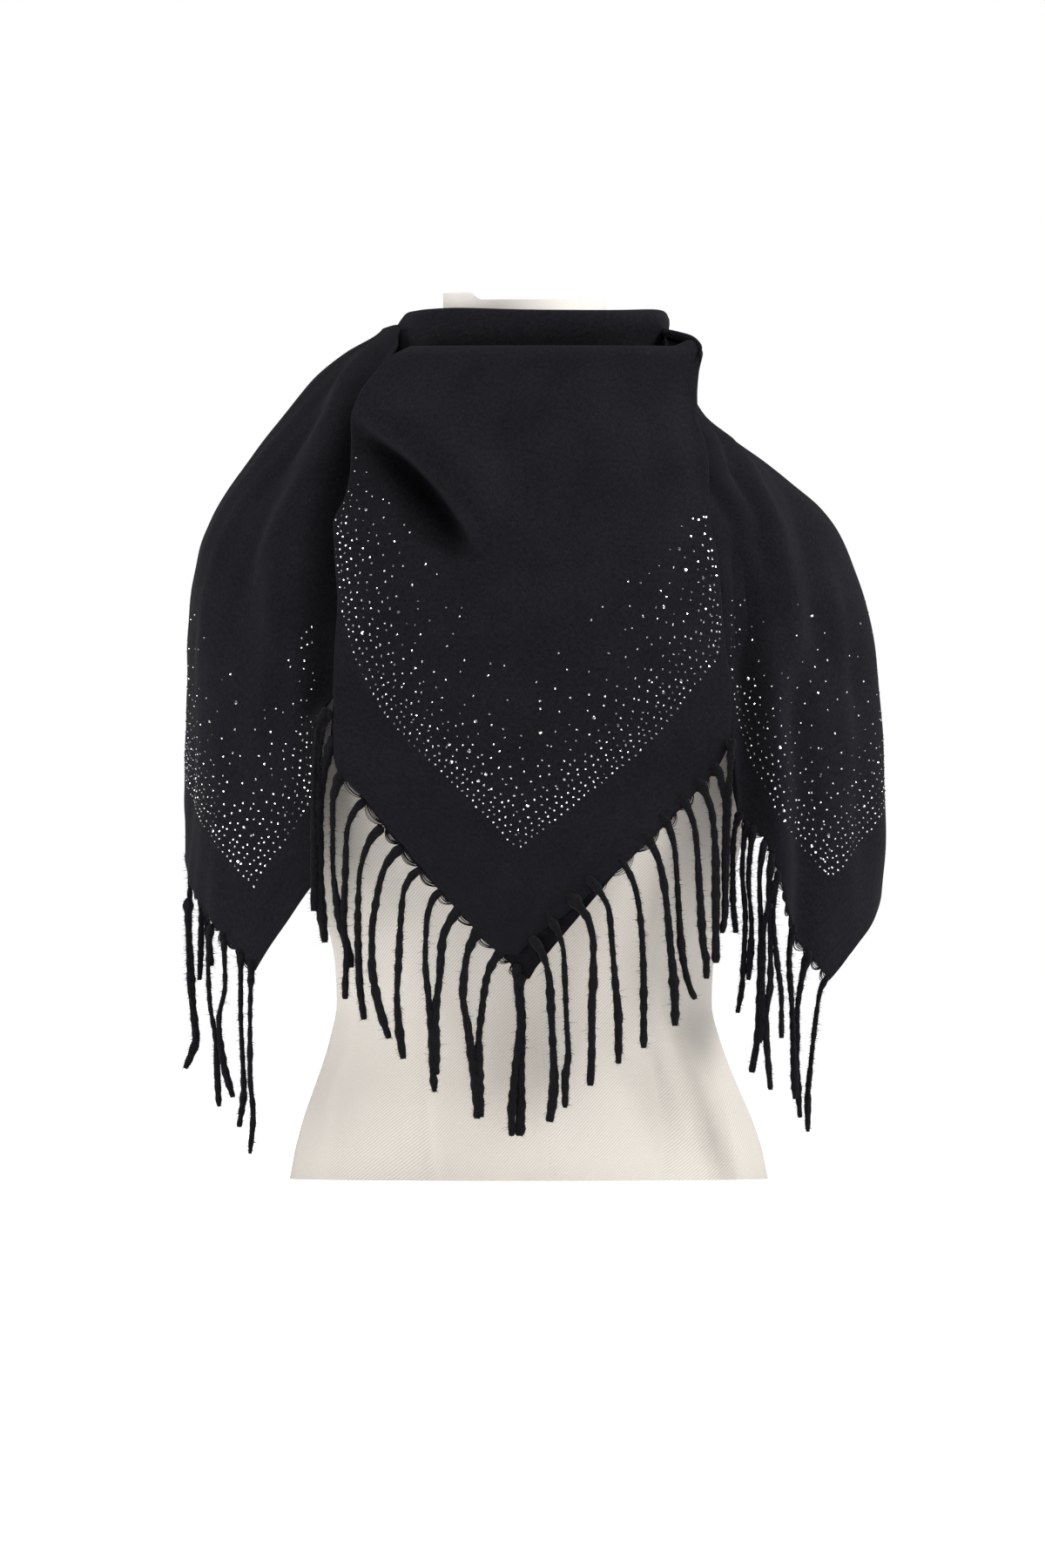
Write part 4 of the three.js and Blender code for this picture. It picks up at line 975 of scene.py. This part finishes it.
def tassel_material():
    material, tree, shader = new_material("twisted_wool", (0.004, 0.004, 0.005), 0.95)
    strands = noise(tree, coordinates(tree, "Object", scale=(1, 1, 0.22)), 1500, 3, 0.6)
    painted(tree, shader,
            ramp(tree, strands, [(0.3, (0.002, 0.002, 0.0025)), (0.75, (0.0085, 0.0085, 0.0105))]))
    set_inputs(shader, {"Specular IOR Level": 0.06, "Sheen Weight": 0.02, "Sheen Roughness": 0.5})
    bumped(tree, shader, strands, 0.6, 0.0005)
    return material


twisted_wool = tassel_material()


def tassel_row(name, paths, arches, node, seed, thick=1.0):
    """One row of tassels and the loose threads between their roots, as one piece."""
    draw = random.Random(seed)
    parts, hairs = [], []
    for path in paths:
        path = smooth_path(path, TASSEL_RINGS)
        rings, radius = tassel_rings(path, draw, thick)
        parts.append(sheet_from("tassel", rings))
        hairs.append(hair_points(path, radius, draw))
    parts += [sheet_from("thread", thread_rings(line)) for line in arches]
    row = joined(name, parts)
    merge_points(row, 0.00001)
    smooth_shaded(row, 70)
    row = joined(name, [row, hair_piece("fibres", hairs)])
    row.data.materials.clear()
    row.data.materials.append(twisted_wool)
    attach(row, "root")
    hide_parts(node)
    return row


def down_from(run):
    """The direction downwards that is square to a cut edge which runs this way."""
    return unit(np.array([0, 0, -1.0]) + run * run[2])


def edge_arches(edge, start, stop, draw, depth=5.2):
    """Nested loose threads that hang under a stretch of a cut edge."""
    lines = []
    for n in range(ARCH_THREADS):
        share = (n + 1) / ARCH_THREADS
        inset = (1 - share) * 0.22 * (stop - start)
        line = point_along(edge, np.linspace(start + inset, stop - inset * draw.uniform(0.4, 1),
                                             ARCH_POINTS))
        down = down_from(unit(line[-1] - line[0]))
        sag = np.sin(np.linspace(0, math.pi, ARCH_POINTS)) ** 0.8 * depth * share
        sag = sag * draw.uniform(0.85, 1.1)
        line = line + down * (sag[:, None] - 0.4) + np.array([0, draw.uniform(-0.5, 0.5), 0])
        lines.append(line)
    return lines


def hung_path(edge, at, draw):
    """A tassel that leaves a cut edge square to it and then hangs plumb."""
    before, root, after = point_along(edge, np.array([at - 6, at, at + 6]))
    square = down_from(unit(after - before))
    t = np.linspace(0, 1, 9)
    length = TASSEL_LENGTH * draw.uniform(0.93, 1.06)
    away = STANDS_OFF * (1 - np.exp(-t * 7))
    fall = t * length - away * 0.5 * t
    path = root + square * [1, 1, 0] * (away * 0.9)[:, None] - np.array([0, 0, 1]) * fall[:, None]
    inward = -root * [1, 1, 0] / np.linalg.norm(root[:2])
    sway = inward * draw.uniform(0, 3) + np.array([draw.uniform(-1, 1), draw.uniform(-3, 3), 0])
    bow = np.array([draw.uniform(-2.5, 2.5), draw.uniform(-2, 2), 0])
    path = path + sway * (t**1.6)[:, None] + bow * np.sin(t * math.pi)[:, None]
    path[1:] += inward * 2.4
    path[0] -= square * 1.2
    return path


def front_path(points, depth, draw):
    """A front tassel's points, at the depth of its edge, swaying a little."""
    points = np.array(points, float)
    sway = draw.uniform(-2, 2)
    share = (arc_length(points) / arc_length(points)[-1]) ** 1.5
    return np.column_stack([points[:, 0], depth - ROOT_FORWARD + sway * share, points[:, 1]])


def inner_edge_points():
    """The back layer's left cut edge."""
    outline = np.array([(z, left) for z, left, _ in INNER_OUTLINE if z < 290])
    z = np.linspace(outline[0, 0], outline[-1, 0], 60)
    x = np.interp(z, outline[::-1, 0], outline[::-1, 1])
    return np.column_stack([x, LAYER_STEP - panel_depth_at(x, z), z])


def outer_edge_points():
    """The front layer's right cut edge."""
    z, _, right, _, _, depth, _, _ = through(PANEL_SECTIONS, np.linspace(16, 21.6, 60))
    return np.column_stack([right, -depth, z])


def front_row(edge, tassels, first_arch, draw):
    """The tassels on a cut edge of the point, and loose threads in the gaps after the first
    ones, where their roots are seen."""
    heights, reach = -edge[:, 2], arc_length(edge)
    paths = [front_path(points, np.interp(-points[0][1], heights, edge[:, 1]), draw)
             for points in tassels]
    places = sorted(np.interp(-points[0][1], heights, reach) for points in tassels[first_arch:])
    lines = []
    for a, b in zip(places, places[1:]):
        if NARROWEST_GAP < b - a < WIDEST_GAP:
            lines += edge_arches(edge, a + 1, b - 0.5, draw)
    return paths, lines


draw = random.Random(7)
paths, arches = front_row(inner_edge_points(), FRONT_LEFT_TASSELS, 3, draw)
fringe_front_left = tassel_row("front_left_tassels", paths, arches, "fringe_front_left", 21)
paths, arches = front_row(outer_edge_points(), FRONT_RIGHT_TASSELS, 0, draw)
fringe_front_right = tassel_row("front_right_tassels", paths, arches, "fringe_front_right", 22)


def drape_edge(drape, first, last, count=240):
    """The cut edge of a drape from one turn of its hem's table to another."""
    turns = np.linspace(first, last, count)
    return drape_points(drape, turns, hem_height(drape, turns))


def hung_row(edge, first_at, draw):
    reach = arc_length(edge)[-1]
    places = np.arange(first_at, reach - 4, TASSEL_PITCH)
    places = [at + draw.uniform(-1.5, 1.5) for at in places]
    paths = [hung_path(edge, at, draw) for at in places]
    lines = []
    for a, b in zip(places, places[1:]):
        lines += edge_arches(edge, a + 1, b - 1, draw, 4.5)
    return paths, lines


def tail_row(edge, tassels, draw):
    """The tassels in front on a drape's cut edge, and the loose threads between them."""
    across = edge[np.argsort(edge[:, 0])]
    paths = [front_path(points, np.interp(points[0][0], across[:, 0], across[:, 1]), draw)
             for points in tassels]
    lines = []
    for at in np.arange(2, arc_length(edge)[-1] - 9, 9):
        lines += edge_arches(edge, at, at + draw.uniform(8, 12), draw, draw.uniform(3, 6.5))
    return paths, lines


paths, arches = tail_row(drape_edge(LEFT, 48.5, 80), LEFT_TAIL_TASSELS, draw)
more_paths, more_arches = hung_row(drape_edge(LEFT, 93, 180), 4, draw)
fringe_left = tassel_row("left_cloth_tassels", paths + more_paths, arches + more_arches,
                         "fringe_left_drape", 23, 0.82)
paths, arches = tail_row(drape_edge(RIGHT, 32.5, 54.5), RIGHT_TAIL_TASSELS, draw)
fringe_right = tassel_row("right_cloth_tassels", paths, arches, "fringe_right_drape", 24, 0.76)

# ------------------------------------------------------------------ the stones
# Small round foiled glass stones, pressed on hot in rows along the edges of the square. They
# stand close together next to the edge and thin out towards the middle of the cloth.

# how far a row lies in from the first one, how far apart its stones are, their jitter (mm)
STONE_ROWS = [
    (0, 4.8, 0.4), (3.9, 4.9, 0.5), (7.9, 5.1, 0.6), (12.1, 5.4, 0.7), (16.6, 5.9, 0.9),
    (21.6, 6.7, 1.1), (27.2, 7.9, 1.4), (33.6, 9.8, 1.8), (41, 12.4, 2.4), (49.5, 15.6, 3),
    (59.2, 20, 3.6), (70, 26, 4.2), (82, 36, 5),
]
STONE_STEP = (0.88, 1.12)    # how much the distance from stone to stone varies
STONE_RADIUS = 0.69
BIG_STONE_RADIUS = 1.25
BIG_STONES = 26              # one stone in so many is a big one
STONE_FACETS = 8
STONE_RINGS = ((1, -0.1), (1, 0.12), (0.56, 0.52))    # width and height, in radii
# how bright the glint painted into the stone's colour is, standing in for what it reflects: a whole
# stone, its slanting facets, its rim
STONE_PAINTED_GLINTS, FACET_PAINTED_GLINTS, RIM_PAINTED_GLINT = [1, 1, 1, 0.85, 0.55], [0.05, 0.12, 0.3, 0.9], 0.02
# Where the first row runs on the front point (x, z), its two arms from top to bottom
LEFT_ARM = [(-136, 470), (-129, 440), (-121, 413), (-117, 384), (-112, 358), (-102, 326), (-95, 308),
            (-74, 282), (-41, 250), (-4, 212)]
RIGHT_ARM = [(143, 440), (132, 405), (126, 373), (122, 344), (107, 315), (78, 279), (39, 246),
             (-4, 212)]
# The same for the arm along the inner edge of each drape, as far as its corner
LEFT_TAIL_ARM = [(-139, 372), (-136, 335), (-133, 300), (-135, 255), (-150, 226), (-173, 187)]
RIGHT_TAIL_ARM = [(133, 372), (132, 345), (133, 322), (137, 302), (143, 282), (154, 255), (164, 232),
                  (177, 214), (195, 194)]
LEFT["stones_above"], RIGHT["stones_above"] = 53, 65    # the other arm's height over its cut edge
DRAPE_ROW_RISE = 1.414       # a row's height over the first one, for its distance in
# The front point's stones end at a line that starts at each side, at this x and height, and
# falls by so much for each mm towards the middle, down to the lowest limit
LEFT_LIMIT, RIGHT_LIMIT = (-104, 462, 1.45), (118, 440, 1.05)
LOWEST_LIMIT = 310
POINT_TIP = -4               # x of the point's tip, where its two arms meet
SHALLOWEST = 0.12            # a ray that meets the cloth flatter than this sets no stone


def arm_spots(arm, inward, keep, closer, draw):
    """Places of stones in rows that run along one arm of the border."""
    line = smooth_path([(x, 0, z) for x, z in arm], 200)[:, ::2]
    ahead = unit(np.gradient(line, axis=0))
    normal = np.column_stack([-ahead[:, 1], ahead[:, 0]]) * inward
    spots = []
    for distance, spacing, jitter in STONE_ROWS:
        row = line + normal * distance
        reach = arc_length(row)
        at = draw.uniform(0, spacing)
        while at < reach[-1]:
            x = np.interp(at, reach, row[:, 0]) + draw.gauss(0, jitter)
            z = np.interp(at, reach, row[:, 1]) + draw.gauss(0, jitter)
            x = closer(x, z)
            if keep(x, z):
                spots.append((x, z))
            at += spacing * draw.uniform(*STONE_STEP)
    return spots


def closer_to_side(x, z):
    """Where the cloth curves away at the panel's sides, the rows are seen closer together."""
    left, right = through(HANGING, z)[:2]
    side, hand, most = (right, 1, 0.5) if x > 0 else (left, -1, 0.35)
    inside = max((side - x) * hand, 0)
    share = smooth_step(300, 340, z) * most * (1 - smooth_step(0, 30, inside))
    return side - hand * inside * (1 - share)


def on_front(x, z):
    """Whether a place is on the part of the front layer that carries stones: off its very
    sides, under the crease, and under the line where the stones end."""
    left, right = through(HANGING, z)[:2]
    (x0, z0), (x1, z1) = CREASE
    crease = z0 + (x - x0) / (x1 - x0) * (z1 - z0)
    start, high, fall = LEFT_LIMIT if x < POINT_TIP else RIGHT_LIMIT
    inside = max(x - start, 0) if x < POINT_TIP else start - x
    limit = max(high - inside * fall, LOWEST_LIMIT)
    return left + 1.2 < x < right - 1.2 and z < limit and (x > x1 or z < crease - 9)


def drape_spots(drape, first, last, draw):
    """(turn, height) of the stones on a drape, in rows that run along its cut edge."""
    turns = np.linspace(first, last, 500)
    reach = arc_length(drape_edge(drape, first, last, 500))
    tops = through(drape["top"], turns)[0] - 25
    spots = []
    for distance, spacing, jitter in STONE_ROWS:
        at = draw.uniform(0, spacing)
        while at < reach[-1]:
            turn = np.interp(at + draw.gauss(0, jitter), reach, turns)
            z = hem_height(drape, turn) + drape["stones_above"] + distance * DRAPE_ROW_RISE
            z += draw.gauss(0, jitter)
            if z < np.interp(turn, turns, tops):
                spots.append((float(turn), float(z)))
            at += spacing * draw.uniform(*STONE_STEP)
    return spots


def stone_mesh(place, normal, radius, draw):
    """One cut stone: a flat table, a ring of slanting facets, and its rim on the cloth."""
    up = unit(np.array(normal) + [draw.gauss(0, 0.1) for _ in range(3)])
    side = unit(np.cross(up, [0.3, 0.2, 0.9]))
    other = np.cross(up, side)
    turn = np.linspace(0, 2 * math.pi, STONE_FACETS, endpoint=False) + draw.uniform(0, 1)
    ring = np.cos(turn)[:, None] * side + np.sin(turn)[:, None] * other
    points = [ring * radius * share + up * radius * height for share, height in STONE_RINGS]
    n = STONE_FACETS
    faces = []
    for level in range(2):
        for k in range(n):
            a, b = level * n + k, level * n + (k + 1) % n
            faces.append((a, b, b + n, a + n))
    faces.append(tuple(range(2 * n, 3 * n)))
    return np.concatenate(points) + place, faces


def stone_material():
    material, tree, shader = new_material("foiled_glass", (0.95, 0.95, 0.97), 0.07)
    shader.inputs["Metallic"].default_value = 1.0
    # Painted reflection: each face's glint value darkens the metal's colour, so tables shine, slanting
    # facets are mostly dim and rims are dark, as reflections would make them
    painted_glint = tree.nodes.new("ShaderNodeAttribute")
    painted_glint.attribute_name = "painted_glint"
    painted(tree, shader,
            ramp(tree, painted_glint.outputs["Fac"],
                 [(0.0, (0.03, 0.03, 0.035)), (0.35, (0.4, 0.4, 0.42)), (1.0, (1, 1, 1))]))
    return material


def stones_on(name, cloth, rays, draw):
    """Sets a stone where each ray (a start and a direction in mm) meets the cloth."""
    points, faces, painted_glints = [], [], []
    count = 0
    for start, direction in rays:
        hit, place, normal, _ = cloth.ray_cast([v * MM for v in start], direction)
        if not hit or normal.dot(direction) > -SHALLOWEST:
            continue
        big = draw.random() < 1 / BIG_STONES
        radius = BIG_STONE_RADIUS if big else STONE_RADIUS * draw.uniform(0.88, 1.1)
        verts, sides = stone_mesh(np.array(place) / MM, normal, radius, draw)
        points.append(verts)
        faces += [tuple(v + count for v in side) for side in sides]
        # painted glint: each face gets a brightness that stands in for what it would reflect
        painted_stone_glint = draw.choice(STONE_PAINTED_GLINTS)
        for n, side in enumerate(sides):
            table = n == len(sides) - 1
            painted_facet_glint = RIM_PAINTED_GLINT if n < STONE_FACETS else draw.choice(FACET_PAINTED_GLINTS)
            painted_glints.append(painted_stone_glint * (1 if table else painted_facet_glint))
        count += len(verts)
    mesh = bpy.data.meshes.new(name)
    mesh.from_pydata((np.concatenate(points) * MM).tolist(), [], faces)
    attribute = mesh.attributes.new("painted_glint", "FLOAT", "FACE")
    attribute.data.foreach_set("value", painted_glints)
    stones = bpy.data.objects.new(name, mesh)
    bpy.context.scene.collection.objects.link(stones)
    stones.data.materials.append(foiled_glass)
    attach(stones, "root")
    return stones


def rays_from_front(spots):
    return [((x, -400, z), (0, 1, 0)) for x, z in spots]


def rays_from_outside(drape, spots):
    """Rays that meet a drape square to its surface, from outside it."""
    rays = []
    for turn, z in spots:
        here, near, over = drape_points(drape, np.array([turn, turn + 0.3, turn]),
                                        np.array([z, z, z + 1]))
        out = unit(np.cross(near - here, over - here) * drape["hand"])
        rays.append((here + out * 8, tuple(float(-v) for v in out)))
    return rays


def closer_to(edge):
    """Next to a drape's inner edge the cloth curves away, so its rows are seen closer together."""
    return lambda x, z: edge + (x - edge) * (0.62 + 0.38 * float(smooth_step(0, 34, abs(x - edge))))


def thinned(draw, edge, top, full):
    """Leaves out more of the stones the higher they are, and ends in a slanting line."""
    def keep(x, z):
        share = 0.3 + 0.7 * (1 - float(smooth_step(full, full + 40, z)))
        return draw.random() < share and z < top - 1.1 * abs(x - edge)
    return keep


foiled_glass = stone_material()
draw = random.Random(31)
spots = arm_spots(LEFT_ARM, 1, lambda x, z: x < POINT_TIP and on_front(x, z), closer_to_side, draw)
spots += arm_spots(RIGHT_ARM, -1, lambda x, z: x > POINT_TIP and on_front(x, z), closer_to_side, draw)
front_stones = stones_on("front_stones", panel, rays_from_front(spots), draw)

thin = thinned(draw, edge=-127, top=368, full=262)
spots = arm_spots(LEFT_TAIL_ARM, -1, lambda x, z: -173 < x < -131 and thin(x, z), closer_to(-133),
                  draw)
rays = rays_from_front(spots) + rays_from_outside(LEFT, drape_spots(LEFT, 48.8, 181, draw))
left_stones = stones_on("left_cloth_stones", left_drape, rays, draw)

thin = thinned(draw, edge=128, top=385, full=296)
spots = arm_spots(RIGHT_TAIL_ARM, 1, lambda x, z: 129 < x < 195 and (x > 172 or thin(x, z)),
                  closer_to(132), draw)
rays = rays_from_front(spots) + rays_from_outside(RIGHT, drape_spots(RIGHT, 52.5, 181, draw))
right_stones = stones_on("right_cloth_stones", right_drape, rays, draw)

# ------------------------------------------------------------------ floor, light and camera
# A pale studio floor that looks brighter than the light it gives, a white backdrop, a weak sky,
# and square soft boxes: strong ones on both sides and overhead, and two weak low ones.
WHITE = (1, 1, 1, 1)
FLOOR_GLOW, FLOOR_GLOW_SEEN = 0.48, 0.5      # of the floor, and what is added for the camera
SKY_LIGHT = 0.125
# name, place, what it points at, width (metres), power (watts)
LIGHTS = [
    ("right_softbox", (2.45, -0.9, 1.75), (0, 0, 0.35), 0.8, 86),
    ("low_right_softbox", (2.6, -0.2, 0.7), (0, 0, 0.3), 1.3, 8),
    ("floor_fill", (-0.55, -0.55, 0.06), (-0.08, 0, 0.06), 0.25, 2.0),
    ("left_softbox", (-2.55, -0.62, 0.6), (0, 0, 0.2), 1.5, 44),
    ("overhead_softbox", (0.1, -0.45, 2.3), (0, 0, 0.35), 1.6, 54),
]
bpy.ops.object.select_all(action="DESELECT")
bpy.ops.mesh.primitive_plane_add(size=40, location=(0, 0, -0.0005))
floor = bpy.context.object
floor.name = "floor"
floor_paint, tree, shader = new_material("pale_floor", (0.97, 0.97, 0.97), 0.9)
set_inputs(shader, {"Specular IOR Level": 0.1, "Emission Color": WHITE})
glow = tree.nodes.new("ShaderNodeMath")
glow.operation = "MULTIPLY_ADD"
glow.inputs[1].default_value, glow.inputs[2].default_value = FLOOR_GLOW_SEEN, FLOOR_GLOW
tree.links.new(tree.nodes.new("ShaderNodeLightPath").outputs["Is Camera Ray"], glow.inputs[0])
tree.links.new(glow.outputs[0], shader.inputs["Emission Strength"])
floor.data.materials.append(floor_paint)

world = bpy.data.worlds.new("studio")
bpy.context.scene.world = world
world.use_nodes = True
tree = world.node_tree
sky, backdrop = tree.nodes["Background"], tree.nodes.new("ShaderNodeBackground")
set_inputs(sky, {"Color": WHITE, "Strength": SKY_LIGHT})
set_inputs(backdrop, {"Color": WHITE, "Strength": 1.0})
chosen = tree.nodes.new("ShaderNodeMixShader")
tree.links.new(tree.nodes.new("ShaderNodeLightPath").outputs["Is Camera Ray"], chosen.inputs["Fac"])
tree.links.new(sky.outputs[0], chosen.inputs[1])
tree.links.new(backdrop.outputs[0], chosen.inputs[2])
tree.links.new(chosen.outputs[0], tree.nodes["World Output"].inputs["Surface"])

for name, place, aim, size, power in LIGHTS:
    bpy.ops.object.light_add(type="AREA", location=place)
    lamp = bpy.context.object
    lamp.name = name
    lamp.data.shape = "SQUARE"
    lamp.data.size = size
    lamp.data.energy = power
    away = [a - b for a, b in zip(place, aim)]
    lamp.rotation_euler = (math.atan2(math.hypot(away[0], away[1]), away[2]), 0,
                           math.atan2(away[1], away[0]) + math.pi / 2)

FRAME_WIDTH = 0.6672         # metres across the picture, where the cloth is
CAMERA_AWAY = 20.0
CLOTH_PLANE = -0.08          # how far forward that is
camera_data = bpy.data.cameras.new("camera")
camera = bpy.data.objects.new("camera", camera_data)
bpy.context.scene.collection.objects.link(camera)
camera.location = (-0.0011, CLOTH_PLANE - CAMERA_AWAY, 0.253)
camera.rotation_euler = (math.pi / 2, 0, 0)
camera_data.sensor_fit = "HORIZONTAL"
camera_data.sensor_width = 24
camera_data.lens = camera_data.sensor_width * CAMERA_AWAY / FRAME_WIDTH
camera_data.clip_end = 60
bpy.context.scene.camera = camera
bpy.context.scene.view_settings.view_transform = "Standard"
